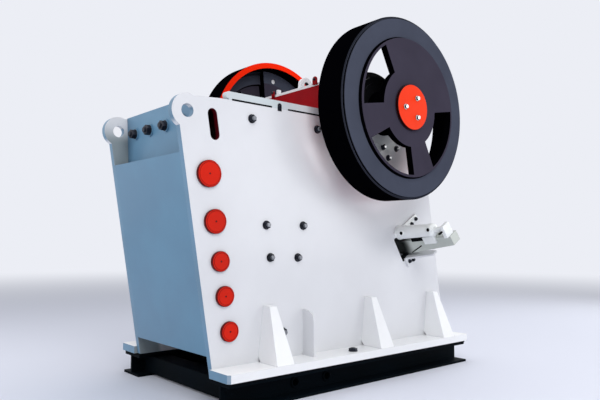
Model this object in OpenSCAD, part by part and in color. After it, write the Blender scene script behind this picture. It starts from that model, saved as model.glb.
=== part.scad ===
// Single-toggle jaw crusher on a steel skid, in millimetres.
// X runs across the machine, -Y is the feed end, +Z is up, and Z = 0 is the floor.
// The origin lies on the floor in the middle of the machine.

/* [Frame] */
// Width over the outer faces of the side plates
frame_w = 1450; // [1400:10:1500]
// Thickness of a side plate
plate_t = 60; // [50:2:70]
// Height of the side plates from their feet to their top edge
frame_h = 2445; // [2400:5:2480]
// From the origin forward to the front foot of the plates
front_foot = 1460; // [1430:5:1500]
// From the origin back to the rear foot of the plates
rear_foot = 1852; // [1820:4:1900]
// Forward lean of the front edge per unit of height
front_lean = 0.166; // [0.160:0.002:0.172]
// Forward lean of the rear edge per unit of height
rear_lean = 0.18; // [0.16:0.01:0.2]
// Outer radius of a lifting ear
ear_r = 150; // [135:5:160]
// Radius of the hole in a lifting ear
ear_hole_r = 59; // [50:1:65]
// From the front edge back to the centre of an ear
ear_inset = 94; // [84:2:104]
// From the plates' top edge down to the centre of an ear
ear_drop = 155; // [145:5:165]
// Width of the oblong slot behind each ear
slot_w = 96; // [80:4:110]
// Length of the oblong slot
slot_l = 283; // [260:5:300]
// From the front edge back to the middle of the slot
slot_inset = 344; // [334:2:354]
// From the plates' top edge down to the middle of the slot
slot_drop = 242; // [232:2:252]

/* [Front wall] */
// Thickness of the outer wall of the front casting
wall_t = 55; // [40:5:70]
// Height of the wall's lower edge above the plates' feet
wall_lift = 174; // [150:4:200]
// From the top edge down to the step where the wall sets back
step_drop = 510; // [480:10:540]
// How far the upper wall is set back at the step
setback = 150; // [120:5:170]
// How far the upper wall leans forward again at its top
wall_top_lean = 25; // [15:5:40]
// From the wall's top edge down to the studs that hold the clamp bar
stud_drop = 188; // [160:4:230]
// Spacing of the four studs across the wall
stud_pitch = 314; // [280:2:330]
// Radius and height of the cast boss round each stud
stud_boss = [62, 12];
// Thickness of the seat that carries the fixed jaw die
seat_t = 75; // [60:5:90]
// Thickness of each web between the wall and the seat
web_t = 50; // [40:5:60]
// From the front edge back to the pins that join casting and plates
pin_inset = 221; // [211:2:231]
// Height of each pin above the plates' feet
pin_z = [379, 690, 996, 1345, 1760];
// Radius of each pin's round cover
pin_cap_r = [90, 91, 91, 109, 120];
// Thickness of a pin cover
pin_cap_t = 30; // [20:2:40]

/* [Foot flanges] */
// Thickness of the foot flange
flange_t = 73; // [60:1:80]
// How far the flange stands out from the side plate
flange_w = 299; // [280:1:320]
// How far the flange reaches in front of the plates' front foot
flange_front = 38; // [30:2:50]
// How far the flange reaches behind the plates' rear foot
flange_rear = 44; // [10:2:50]
// Where the tapered ribs stand along the flange
rib_y = [-880, 480, 1540];
// Height of a rib above the flange
rib_h = 503; // [450:1:540]
// Width of a rib at its foot
rib_foot_w = 200; // [160:10:220]
// Width of a rib at its head
rib_head_w = 80; // [60:10:100]
// How far a rib's foot stands out from the plate
rib_out = 288; // [250:2:290]
// How far a rib's head stands out from the plate
rib_head_out = 96; // [60:4:120]
// Cut corner of a rib, over the weld of plate and flange
rib_snipe = 45; // [30:5:50]

/* [Skid] */
// Height of the skid beams
skid_h = 220; // [200:10:240]
// Thickness of the rubber pad under each flange
pad_t = 20; // [15:1:25]
// Thickness of the beams' flanges and webs
skid_plate_t = 24; // [20:2:30]
// From a side plate's outer face out to the middle of its skid beam
skid_out = 125; // [110:5:140]
// Width of a beam's upper flange
skid_top_w = 290; // [260:10:300]
// Width of a beam's lower flange
skid_foot_w = 340; // [320:10:360]
// Radius of the lifting tubes through the skid
tube_r = 48; // [40:2:60]
// Where the lifting tubes lie along the skid
tube_y = [-655, -255];
// Where the cross beams lie along the skid
cross_y = [-1330, -140, 700, 1650];
// Width of a cross beam
cross_w = 200; // [160:10:240]

/* [Crushing chamber] */
// From the origin forward to the fixed die's teeth, projected to the floor
fixed_face_y = 730; // [720:2:740]
// From the origin forward to the moving die's teeth, projected to the floor
moving_face_y = 699; // [690:1:705]
// Rearward lean of the moving die per unit of height
moving_lean = 0.2; // [0.19:0.005:0.21]
// Thickness of a jaw die over its teeth
die_t = 110; // [90:5:120]
// Depth of the teeth
tooth_d = 34; // [20:2:40]
// Width of a tooth and its valley
tooth_pitch = 110; // [100:5:125]
// Height of the fixed die's lower end above the floor
fixed_die_z = 440; // [430:5:460]
// Height of the moving die's lower end above the floor
moving_die_z = 480; // [470:5:500]
// Length of each die
die_l = 1950; // [1900:10:1980]
// Gap between a die and the cheek or side plate beside it
die_side_gap = 15; // [8:1:20]
// Thickness of a cheek plate
cheek_t = 35; // [25:1:40]
// How far the cheek plates reach behind the moving die's teeth
cheek_lap = 80; // [60:5:90]
// Height of the joint between the upper and the lower cheek plates
cheek_split_z = 1420; // [1400:10:1440]

/* [Shaft and flywheels] */
// From the origin back to the shaft's axis
shaft_y = 524; // [514:2:534]
// Height of the shaft's axis above the plates' feet
shaft_lift = 2544; // [2530:2:2556]
// Throw of the eccentric
throw = 18; // [12:1:20]
// Direction of the wheels' solid sector, opposite the throw, seen from the right
wheel_turn = 63.5; // [55:0.5:70]
// Radius of the shaft in the main bearings
journal_r = 160; // [150:2:170]
// Radius of the eccentric part of the shaft
eccentric_r = 195; // [190:1:200]
// Radius of the shaft in the flywheels
wheel_seat_r = 145; // [135:5:148]
// Outer radius of a flywheel
wheel_r = 946; // [900:2:960]
// Width of a flywheel's rim
wheel_w = 343; // [330:1:350]
// From a side plate's outer face out to the rim's inner face
wheel_gap = 195; // [185:1:205]
// Radial thickness of the rim
rim_t = 70; // [60:2:80]
// Radius of the raised disc inside the rim's outer face
disc_r = 714; // [700:2:725]
// How far the disc stands out beyond the rim's outer face
disc_out = 34; // [25:1:50]
// How much wider the disc is at its foot
disc_draft = 18; // [10:1:25]
// Thickness of the wheel's web
wheel_web_t = 74; // [65:1:85]
// Radius of the wheel's hub
hub_r = 240; // [236:2:260]
// How far the hub stands out beyond the disc
hub_out = 4; // [2:1:10]
// Radius of the round hub cover
hub_cover_r = 234; // [220:2:238]
// Thickness of the hub cover
hub_cover_t = 31; // [20:1:35]
// Inner and outer radius of the windows in the web
window_r = [404, 692];
// Half the angle that a window spans at those radii
window_span = [27.2, 31];
// How far the counterweight reaches inwards from the web
weight_depth = 80; // [60:2:120]
// Half the angle that the counterweight spans
weight_span = 32; // [25:1:40]
// Radius of the round hole in the left wheel, and its place as radius and angle
turning_hole = [31, 765, 83.4];

/* [Bearings] */
// Width of a main bearing housing
housing_w = 265; // [250:5:270]
// From a side plate's outer face in to a housing's inner face
housing_in = 110; // [105:1:113]
// Outer radius of the housing's barrel
housing_r = 400; // [380:5:410]
// Radius of the bearing seat in the housing
bearing_r = 300; // [280:5:320]
// Radius of the housing's flange against the side plate
housing_flange_r = 470; // [460:5:490]
// Thickness of that flange
housing_flange_t = 70; // [50:5:80]
// Thickness of the covers that close the housing
cover_t = 20; // [16:1:24]

/* [Pitman] */
// Outer radius of the pitman's barrel
barrel_r = 400; // [380:5:410]
// Thickness of the pitman's face plate
face_t = 80; // [60:5:90]
// Thickness of a pitman rib
pitman_rib_t = 60; // [50:5:70]
// Gap between the pitman and a bearing housing
pitman_gap = 25; // [20:1:30]
// From the origin back to the pitman's lifting lug
lug_y = 216; // [200:2:230]
// Height of the lug's hole above the plates' feet
lug_lift = 2973; // [2960:1:2985]
// Height and depth of the bar along the guard's upper edge
guard_bar = [30, 44];
// Clearance that lets the pitman swing past the toggle plate
toggle_gap = 40; // [39:1:46]

/* [Toggle and adjusting wedges] */
// Slope of the toggle plate, in degrees
toggle_angle = 31.6; // [31:0.1:32]
// From the origin back to the toggle plate's rear seat
toggle_y = 1000; // [990:2:1010]
// Height of the toggle plate's rear seat above the plates' feet
toggle_lift = 1060; // [1050:2:1070]
// Length of the toggle plate between its seats
toggle_l = 822; // [810:2:830]
// Thickness of the toggle plate
toggle_t = 80; // [60:5:100]
// Thickness of the rear seat block
seat_block_t = 100; // [80:5:110]
// Height of a wedge's cross-section
wedge_h = 165; // [150:5:180]
// How far the wedges' middle lies below the toggle's axis
wedge_drop = 22; // [10:2:30]
// How much lower a wedge is at its outer end
wedge_waste = 55; // [30:5:70]
// Greatest thickness of a wedge
wedge_t = 125; // [110:5:130]
// How far a wedge stands out from the side plate
wedge_out = 700; // [600:10:760]
// How steeply the wedges climb outwards, in degrees
wedge_rise = 6; // [4:0.5:7]
// Height of the window in the side plate
wedge_window_h = 300; // [290:5:310]
// Length of that window along the toggle
wedge_window_l = 240; // [235:1:250]
// Radius of a wedge cylinder
cylinder_r = 52; // [45:1:60]
// Radius of a tension rod
rod_r = 30; // [24:2:34]
// Radius of a tension rod's spring
spring_r = 70; // [60:2:80]
// Length of that spring
spring_l = 260; // [220:10:300]
// Radius of the discs at the spring's ends
spring_disc_r = 82; // [76:2:90]
// From the toggle's axis down to the tension rods
rod_drop = 350; // [345:1:360]
// From the middle of the machine to a tension rod
rod_x = 260; // [220:10:300]

/* [Top rail and guard] */
// Height of the top rail
rail_h = 67; // [55:1:75]
// Height of the pads that carry the top rail
rail_gap = 10; // [6:1:14]
// Where the rail starts, forward of the origin
rail_front = 1356; // [1340:2:1380]
// Where the plate's top edge meets the ear, forward of the origin
ear_corner = 1396; // [1380:2:1400]
// Where the rail's pads lie, as start and end along Y
rail_pads = [[-1396, -1291], [-835, -637], [-140, -60]];
// Where the rail ends, behind the origin
rail_rear = -60; // [-80:2:-50]
// Thickness of the guard plate above the moving die
guard_t = 16; // [12:1:20]
// Where the guard's upper edge lies along Y
guard_top_y = 100; // [90:2:110]
// Height of the guard's upper edge above the plates' feet
guard_top_lift = 2892; // [2880:2:2930]
// Radius of the pitman's lifting lug
lug_r = 85; // [75:1:95]
// Radius of the hole in that lug
lug_hole_r = 34; // [28:1:38]

/* [Hidden] */
$fn = 64;
// Play of a shaft that turns in a bearing, and of a ring in its seat
fit = 0.05;
// Gap between pieces that rest on each other but slide or lift off
seat_gap = 0.3;
// How far a cut runs past the face that it goes through
over = 5;
base_z = skid_h + pad_t;
top_z = base_z + frame_h;
half_w = frame_w / 2;
inner_x = half_w - plate_t;
skid_x = half_w + skid_out;
wheel_x = half_w + wheel_gap;
housing_x = half_w - housing_in;
pitman_half_w = housing_x - pitman_gap;
throw_angle = wheel_turn + 180;
shaft_z = base_z + shaft_lift;
ear_z = top_z - ear_drop;
step_z = top_z - step_drop;
wall_z = base_z + wall_lift;
wall_top_z = top_z - 9;
cheek_x = inner_x - cheek_t;
die_half_w = cheek_x - die_side_gap;
eccentric_y = shaft_y + throw * cos(throw_angle);
eccentric_z = shaft_z + throw * sin(throw_angle);
front_tilt = atan(front_lean);
moving_tilt = atan(moving_lean);
shoulder_w = housing_flange_r + 60;
toggle_z = base_z + toggle_lift;
guard_top_z = base_z + guard_top_lift;
wheel_out_x = wheel_x + wheel_w;
disc_out_x = wheel_out_x + disc_out;
hub_out_x = disc_out_x + hub_out;
web_in_x = wheel_out_x - wheel_web_t;
disc_in_x = disc_out_x - wheel_web_t;
lug_z = base_z + lug_lift;
fixed_top_z = fixed_die_z + die_l * cos(front_tilt);
moving_top_z = moving_die_z + die_l * cos(moving_tilt);
clamp_h = 150;
jaw_wedge_h = 110;
chamber_top_z = 2600;

// Y of the plates' front edge at a height
function front_y(z) = -front_foot - front_lean * (z - base_z);
// Y of the plates' rear edge at a height
function rear_y(z) = rear_foot - rear_lean * (z - base_z);
// Y of the upper wall's outer face at a height
function wall_y(z) = front_y(step_z) + setback - wall_top_lean * (z - step_z) / (wall_top_z - step_z);
// Y of the fixed die's teeth, and of its back, at a height
function fixed_y(z) = -fixed_face_y - front_lean * z;
function fixed_back_y(z) = fixed_y(z) - die_t / cos(front_tilt);
// Y of the moving die's teeth, and of its back, at a height
function moving_y(z) = -moving_face_y + moving_lean * z;
function moving_back_y(z) = moving_y(z) + die_t / cos(moving_tilt);
// A point given along and across the toggle, as Y and Z
function toggle_point(s, n) = [
  toggle_y + s * cos(toggle_angle) - n * sin(toggle_angle),
  toggle_z + s * sin(toggle_angle) + n * cos(toggle_angle)
];

// Runs a Y-Z outline across the machine from x0 to x1
module across(x0, x1) {
  translate([x0, 0, 0]) rotate([90, 0, 90]) linear_extrude(x1 - x0) children();
}

// Puts the children on the right side, or mirrored on the left
module on_side(side) {
  if (side == "right") children();
  else mirror([1, 0, 0]) children();
}

// Local frame of the toggle: X across, Y along the toggle and Z square to it
module toggle_frame() {
  translate([0, toggle_y, toggle_z]) rotate([toggle_angle, 0, 0]) children();
}

// Round bar or bore that runs across the machine
module bar_x(x0, x1, y, z, r) {
  translate([x0, y, z]) rotate([0, 90, 0]) cylinder(h = x1 - x0, r = r);
}

// Ring around an axis across the machine
module ring_x(x0, x1, y, z, outer, inner) {
  difference() {
    bar_x(x0, x1, y, z, outer);
    bar_x(x0 - over, x1 + over, y, z, inner);
  }
}

// Oblong outline with round ends
module oblong(w, l) {
  half_turn = [for (a = [0:15:180]) a];
  polygon([for (turn = [0, 180]) each [for (a = half_turn)
    [w / 2 * cos(a + turn), w / 2 * sin(a + turn) + (turn == 0 ? 1 : -1) * (l - w) / 2]]]);
}

// Side plate

ear_y = front_y(ear_z) + ear_inset;

// Height of the plates' upper rear corner above the front wall's step
rear_corner = 125;

module plate_outline() {
  polygon([
    [front_y(base_z), base_z], [front_y(ear_z), ear_z],
    [ear_y + 0.2 * ear_r, ear_z + 0.9 * ear_r], [-ear_corner, top_z],
    [shaft_y - shoulder_w, top_z], [shaft_y - shoulder_w, shaft_z],
    [shaft_y + shoulder_w, shaft_z], [rear_y(step_z), step_z + rear_corner], [rear_y(base_z), base_z]
  ]);
}

// Shelf under the wedge, outside the plate, with the strip that bolts it on
module wedge_shelf() {
  shelf_t = 22;
  shelf_out = 330;
  strip_h = 88;
  n = -wedge_window_h / 2;
  toggle_frame() {
    translate([half_w - over, 30, n - strip_h]) cube([over + shelf_t, 175, strip_h - over]);
    translate([half_w, 30, n - 2 * over]) cube([shelf_t, 175, shelf_t + 2 * over]);
    translate([0, 0, n]) linear_extrude(shelf_t) polygon([
      [half_w, 45], [half_w + shelf_out, 150], [half_w + shelf_out, 230], [half_w, 230]
    ]);
  }
}

module side_plate(side) {
  slot_z = top_z - slot_drop;
  color("white") on_side(side) union() {
    difference() {
      union() {
        across(inner_x, half_w) plate_outline();
        bar_x(inner_x, half_w, ear_y, ear_z, ear_r);
      }
      across(inner_x - over, half_w + over) {
        translate([front_y(slot_z) + slot_inset, slot_z]) rotate(front_tilt) oblong(slot_w, slot_l);
        translate([toggle_y, toggle_z]) rotate(toggle_angle)
          translate([0, -wedge_window_h / 2]) square([wedge_window_l, wedge_window_h]);
      }
      bar_x(inner_x - over, half_w + over, ear_y, ear_z, ear_hole_r);
      bar_x(inner_x - over, half_w + over, shaft_y, shaft_z, housing_r + fit);
    }
    wedge_shelf();
  }
}

// Front casting with its outer wall, webs and the seat of the fixed die

module pocket(z0, z1) {
  polygon([
    [front_y(z0) + wall_t, z0], [front_y(z1) + wall_t, z1],
    [fixed_back_y(z1) - seat_t, z1], [fixed_back_y(z0) - seat_t, z0]
  ]);
}

// Puts the children at each clamp stud, with -Y square to the upper wall
module stud_places() {
  z = wall_top_z - stud_drop;
  for (i = [-1.5:1:1.5]) translate([i * stud_pitch, wall_y(z), z])
    rotate([atan(wall_top_lean / (wall_top_z - step_z)), 0, 0]) children();
}

module front_wall() {
  webs = [for (z = pin_z) base_z + z];
  color("slategray") union() {
    stud_places() translate([0, wall_t / 2, 0]) rotate([90, 0, 0])
      cylinder(h = wall_t / 2 + stud_boss[1], r = stud_boss[0]);
    across(-inner_x, inner_x) difference() {
      polygon([
        [front_y(wall_z), wall_z], [front_y(step_z), step_z],
        [wall_y(step_z), step_z], [wall_y(wall_top_z), wall_top_z],
        [fixed_back_y(wall_top_z), wall_top_z], [fixed_back_y(wall_z), wall_z]
      ]);
      for (i = [0:len(webs) - 2]) pocket(webs[i] + web_t, webs[i + 1] - web_t);
      polygon([
        [wall_y(step_z) + wall_t, step_z], [wall_y(wall_top_z - wall_t) + wall_t, wall_top_z - wall_t],
        [fixed_back_y(wall_top_z - wall_t) - seat_t, wall_top_z - wall_t],
        [fixed_back_y(step_z) - seat_t, step_z]
      ]);
    }
  }
}

module pin_covers(side) {
  color("red") on_side(side) for (i = [0:len(pin_z) - 1]) {
    z = base_z + pin_z[i];
    bar_x(half_w, half_w + pin_cap_t, front_y(z) + pin_inset, z, pin_cap_r[i]);
  }
}

// Rear casting behind the wedges, with the ears that guide the tension rods

casting_s0 = seat_block_t + wedge_t + seat_gap;
casting_l = 290;
casting_s1 = casting_s0 + casting_l;
// The rods swing by up to twice the throw
rod_play = 2 * throw + 2;
casting_n = rod_drop - spring_disc_r - rod_play;
rod_hole_r = rod_r + rod_play + 7;
rod_ear_t = 60;
rod_ear_w = 140;

module rear_casting() {
  color("white") toggle_frame() {
    difference() {
      across(-inner_x, inner_x) difference() {
        polygon([
          [casting_s0, -casting_n], [casting_s1, -casting_n],
          [casting_s1, casting_n], [casting_s0, casting_n]
        ]);
        for (n = [-1, 1]) translate([casting_s0 + 60, n * (casting_n - 110) - 80])
          square([170, 160]);
      }
    }
    for (side = [-1, 1]) translate([side * rod_x, casting_s0, -rod_drop]) difference() {
      translate([-rod_ear_w, 0, -rod_ear_w])
        cube([2 * rod_ear_w, rod_ear_t, rod_ear_w + rod_drop - casting_n + over]);
      translate([0, -over, 0]) rotate([-90, 0, 0]) cylinder(h = rod_ear_t + 2 * over, r = rod_hole_r);
    }
  }
}

// Hollow box between the plates at their rear, given by its lower edge, height, depth and wall
tie_lift = 80;
tie_h = 400;
tie_d = 270;
tie_inset = 60;
tie_wall = 60;

module rear_tie_beam() {
  z0 = base_z + tie_lift;
  z1 = z0 + tie_h;
  function back_y(z) = rear_y(z) - tie_inset;
  color("white") across(-inner_x, inner_x) difference() {
    polygon([[back_y(z0) - tie_d, z0], [back_y(z0), z0], [back_y(z1), z1], [back_y(z1) - tie_d, z1]]);
    polygon([
      [back_y(z0 + tie_wall) - tie_d + tie_wall, z0 + tie_wall], [back_y(z0 + tie_wall) - tie_wall, z0 + tie_wall],
      [back_y(z1 - tie_wall) - tie_wall, z1 - tie_wall], [back_y(z1 - tie_wall) - tie_d + tie_wall, z1 - tie_wall]
    ]);
  }
}

// Foot flange with its tapered ribs

module tapered_rib(y) {
  rib_z = base_z + flange_t;
  intersection() {
    across(half_w, half_w + rib_out) polygon([
      [y - rib_foot_w / 2, rib_z], [y + rib_foot_w / 2, rib_z],
      [y + rib_head_w / 2, rib_z + rib_h], [y - rib_head_w / 2, rib_z + rib_h]
    ]);
    translate([0, y + rib_foot_w, 0]) rotate([90, 0, 0]) linear_extrude(2 * rib_foot_w) polygon([
      [half_w + rib_snipe, rib_z], [half_w + rib_out, rib_z],
      [half_w + rib_head_out, rib_z + rib_h], [half_w, rib_z + rib_h], [half_w, rib_z + rib_snipe]
    ]);
  }
}

module foot_flange(side) {
  corner = 24;
  y0 = -front_foot - flange_front;
  y1 = rear_foot + flange_rear;
  color("white") on_side(side) {
    translate([0, 0, base_z]) linear_extrude(flange_t) polygon([
      [half_w, y0], [half_w + flange_w - corner, y0], [half_w + flange_w, y0 + corner],
      [half_w + flange_w, y1 - corner], [half_w + flange_w - corner, y1], [half_w, y1]
    ]);
    for (y = rib_y) tapered_rib(y);
  }
}

module rubber_pad(side) {
  color("dimgray") on_side(side)
    translate([inner_x, -front_foot - flange_front + 30, skid_h])
      cube([plate_t + flange_w - 20, front_foot + rear_foot + flange_front - 30, pad_t]);
}

// Skid

module skid_beam(side) {
  y0 = -front_foot - 10;
  l = front_foot + rear_foot + 10;
  color("darkslategray") on_side(side) difference() {
    union() {
      translate([skid_x - skid_foot_w / 2, y0, 0]) cube([skid_foot_w, l, skid_plate_t]);
      translate([skid_x - skid_plate_t / 2, y0, 0]) cube([skid_plate_t, l, skid_h]);
      translate([skid_x - skid_top_w / 2, y0, skid_h - skid_plate_t]) cube([skid_top_w, l, skid_plate_t]);
      translate([inner_x, y0, skid_h - skid_plate_t]) cube([plate_t, l, skid_plate_t]);
    }
    for (y = tube_y) bar_x(skid_x - skid_plate_t, skid_x + skid_plate_t, y, skid_h / 2, tube_r + fit);
  }
}

module skid_cross_beams() {
  x1 = skid_x - skid_plate_t / 2;
  color("darkslategray") for (y = cross_y) translate([-x1, y, skid_plate_t]) difference() {
    cube([2 * x1, cross_w, skid_h - 2 * skid_plate_t]);
    translate([-over, skid_plate_t, skid_plate_t])
      cube([2 * x1 + 2 * over, cross_w - 2 * skid_plate_t, skid_h - 4 * skid_plate_t]);
  }
}

module skid_lifting_tubes() {
  color("darkslategray") for (y = tube_y, side = ["right", "left"]) on_side(side)
    ring_x(skid_x - skid_top_w / 2, skid_x + skid_plate_t / 2 + 15, y, skid_h / 2, tube_r, tube_r - 12);
}

// Jaw dies

// Toothed plate that stands on z = 0 with its teeth towards +Y and its back on y = 0
module toothed_plate(w, l) {
  count = floor(2 * w / tooth_pitch);
  start = -count * tooth_pitch / 2;
  q = tooth_pitch / 4;
  teeth = [for (i = [0:count - 1]) let (x = start + i * tooth_pitch) each [
    [x + 0.5 * q, die_t - tooth_d], [x + 1.4 * q, die_t],
    [x + 2.6 * q, die_t], [x + 3.5 * q, die_t - tooth_d]
  ]];
  linear_extrude(l) polygon(concat([[-w, 0], [-w, die_t - tooth_d]], teeth,
    [[w, die_t - tooth_d], [w, 0]]));
}

// Local frames of the dies: the die's back is on Y = 0, just off its seat, and its lower end on Z = 0
module fixed_frame() {
  translate([0, fixed_back_y(fixed_die_z), fixed_die_z]) rotate([front_tilt, 0, 0])
    translate([0, seat_gap, 0]) children();
}

module moving_frame() {
  translate([0, moving_back_y(moving_die_z), moving_die_z]) rotate([-moving_tilt, 0, 0])
    translate([0, -seat_gap, 0]) mirror([0, 1, 0]) children();
}

module fixed_jaw_die() {
  color("darkred") fixed_frame() toothed_plate(inner_x - die_side_gap, die_l);
}

module moving_jaw_die() {
  color("darkred") moving_frame() toothed_plate(die_half_w, die_l);
}

// Bar that holds the fixed die down, and the nuts on the studs that draw it to the wall
module clamp_bar() {
  z0 = die_l + seat_gap;
  color("darkred") fixed_frame() across(die_side_gap - inner_x, inner_x - die_side_gap) polygon([
    [0, z0], [die_t - tooth_d, z0], [die_t - tooth_d - 40, z0 + clamp_h], [0, z0 + clamp_h]
  ]);
}

module clamp_studs() {
  nut_t = 51;
  color("black") stud_places() translate([0, -stud_boss[1] - seat_gap, 0]) rotate([90, 0, 0]) {
    cylinder(h = nut_t, r = 55, $fn = 6);
    cylinder(h = nut_t + 28, r = 32);
  }
}

// Cheek plates on the side plates, between the dies

module cheek_plate(side, z0, z1) {
  color("darkred") on_side(side) across(cheek_x, inner_x) polygon([
    [fixed_y(z0) + 8, z0], [moving_y(z0) + cheek_lap, z0],
    [moving_y(z1) + cheek_lap, z1], [fixed_y(z1) + 8, z1]
  ]);
}

// Rails on the side plates' top edges

module top_rail(side) {
  z0 = top_z + rail_gap;
  color("white") on_side(side) {
    across(inner_x, half_w) difference() {
      union() {
        translate([-rail_front + rail_h / 2, z0]) square([rail_front + rail_rear - rail_h / 2, rail_h]);
        translate([-rail_front + rail_h / 2, z0 + rail_h / 2]) circle(d = rail_h);
        for (pad = rail_pads) translate([max(pad[0], -rail_front + rail_h / 2), top_z])
          square([pad[1] - max(pad[0], -rail_front + rail_h / 2), rail_gap + 1]);
      }
    }
  }
}

// Main bearings

module half_space(above) {
  size = 2 * wheel_r;
  translate([0, shaft_y - wheel_r, above ? shaft_z : shaft_z - size]) cube(size);
}

module housing_ring() {
  ring_x(housing_x, housing_x + housing_w, shaft_y, shaft_z, housing_r, bearing_r);
  ring_x(half_w, half_w + housing_flange_t, shaft_y, shaft_z, housing_flange_r, housing_r - over);
  for (end = [-1, 1]) translate([half_w, shaft_y + end * (housing_flange_r + 20) - 50, shaft_z - 70])
    cube([housing_flange_t + 50, 100, 140]);
  for (x = [housing_x - cover_t / 2, housing_x + housing_w])
    ring_x(x, x + cover_t / 2 + (x > half_w ? 10 : 0), shaft_y, shaft_z, bearing_r + 40, journal_r + 6);
}

module bearing_base(side) {
  color("lightgray") on_side(side) intersection() {
    housing_ring();
    half_space(false);
  }
}

module bearing_cap(side) {
  color("black") on_side(side) intersection() {
    housing_ring();
    half_space(true);
  }
}

module main_bearing(side) {
  color("silver") on_side(side)
    ring_x(housing_x + 40, housing_x + housing_w - 40, shaft_y, shaft_z, bearing_r - fit, journal_r + fit);
}

// Shaft, flywheels and hub covers

module eccentric_shaft() {
  color("silver") {
    bar_x(-pitman_half_w, pitman_half_w, eccentric_y, eccentric_z, eccentric_r);
    for (side = ["right", "left"]) on_side(side) {
      bar_x(pitman_half_w, wheel_x - 6, shaft_y, shaft_z, journal_r);
      bar_x(wheel_x - 6, hub_out_x, shaft_y, shaft_z, wheel_seat_r);
    }
  }
}

// Sector round an angle, between two radii and two half angles
module sector(mid, radii, spans) {
  // Point on a side of the sector, on its inner radius for k = 0 and on its outer for k = 1
  function edge(turn, k) = [for (i = [0, 1]) let (
    from = radii[0] * [cos(mid + turn * spans[0]), sin(mid + turn * spans[0])],
    to = radii[1] * [cos(mid + turn * spans[1]), sin(mid + turn * spans[1])]
  ) from[i] + k * (to[i] - from[i])];
  intersection() {
    difference() {
      circle(r = radii[1]);
      circle(r = radii[0]);
    }
    polygon([edge(-1, -0.2), edge(-1, 1.3), 1.4 * radii[1] * [cos(mid), sin(mid)], edge(1, 1.3), edge(1, -0.2)]);
  }
}

module flywheel(side) {
  rim_r = wheel_r - rim_t;
  lip = 22;
  fillet = 40;
  inner_x0 = wheel_x - 6;
  color("darkslategray") on_side(side) translate([0, shaft_y, shaft_z]) difference() {
    union() {
      rotate([0, 90, 0]) rotate_extrude() polygon([
        [wheel_seat_r + fit, inner_x0], [hub_r, inner_x0], [hub_r, disc_in_x],
        [disc_r - 12, disc_in_x], [disc_r, web_in_x], [rim_r - fillet, web_in_x],
        [rim_r, web_in_x - fillet], [rim_r, wheel_x],
        [wheel_r - 4, wheel_x], [wheel_r, wheel_x + 4], [wheel_r, wheel_out_x - lip],
        [wheel_r - lip, wheel_out_x - lip], [wheel_r - lip, wheel_out_x - 4], [wheel_r - lip - 4, wheel_out_x],
        [disc_r + disc_draft, wheel_out_x], [disc_r + 4, disc_out_x - 4], [disc_r - 4, disc_out_x],
        [hub_r, disc_out_x], [hub_r - hub_out, hub_out_x], [wheel_seat_r + fit, hub_out_x]
      ]);
      across(web_in_x - weight_depth, disc_in_x + over)
        sector(wheel_turn, [hub_r - over, rim_r + over], [weight_span, weight_span]);
    }
    for (i = [1:3]) across(disc_in_x - over, disc_out_x + over)
      sector(wheel_turn + 90 * i, window_r, window_span);
    if (side == "left") translate([0, turning_hole[1] * cos(turning_hole[2]), turning_hole[1] * sin(turning_hole[2])])
      bar_x(wheel_x, disc_out_x, 0, 0, turning_hole[0]);
  }
}

module hub_cover(side) {
  color("orangered") on_side(side)
    bar_x(hub_out_x, hub_out_x + hub_cover_t, shaft_y, shaft_z, hub_cover_r);
}

// Pitman

pitman_front_z = moving_top_z + jaw_wedge_h * cos(moving_tilt);
pitman_bottom_z = moving_die_z;

function pitman_face_y(z) = moving_back_y(z) + face_t / cos(moving_tilt);

module pitman_rib_outline() {
  polygon([
    [pitman_face_y(pitman_bottom_z) - 10, pitman_bottom_z],
    toggle_point(-toggle_l - 150, -rod_drop - 90), toggle_point(-toggle_l - 30, -rod_drop - 90),
    toggle_point(-toggle_l - 30, -rod_drop + 90), toggle_point(-toggle_l - toggle_gap, -130),
    toggle_point(-toggle_l - toggle_gap, 130), toggle_point(-toggle_l - 150, 200),
    [eccentric_y + barrel_r * cos(-25), eccentric_z + barrel_r * sin(-25)],
    [eccentric_y, eccentric_z],
    [eccentric_y + barrel_r * cos(165), eccentric_z + barrel_r * sin(165)],
    [pitman_face_y(pitman_front_z) - 10, pitman_front_z]
  ]);
}

// Block beside a rib that takes the head of a tension rod
module rod_anchor(side) {
  rib_x = (pitman_half_w - pitman_rib_t / 2) / 3;
  reach = rod_x + 2 * rod_r - rib_x;
  translate([side * rod_x, -toggle_l - 75, -rod_drop]) difference() {
    translate([side > 0 ? rib_x - rod_x : -2 * rod_r, 0, -65]) cube([reach, 60, 130]);
    translate([0, -over, 0]) rotate([-90, 0, 0]) cylinder(h = 60 + 2 * over, r = rod_r + fit);
  }
}

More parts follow.
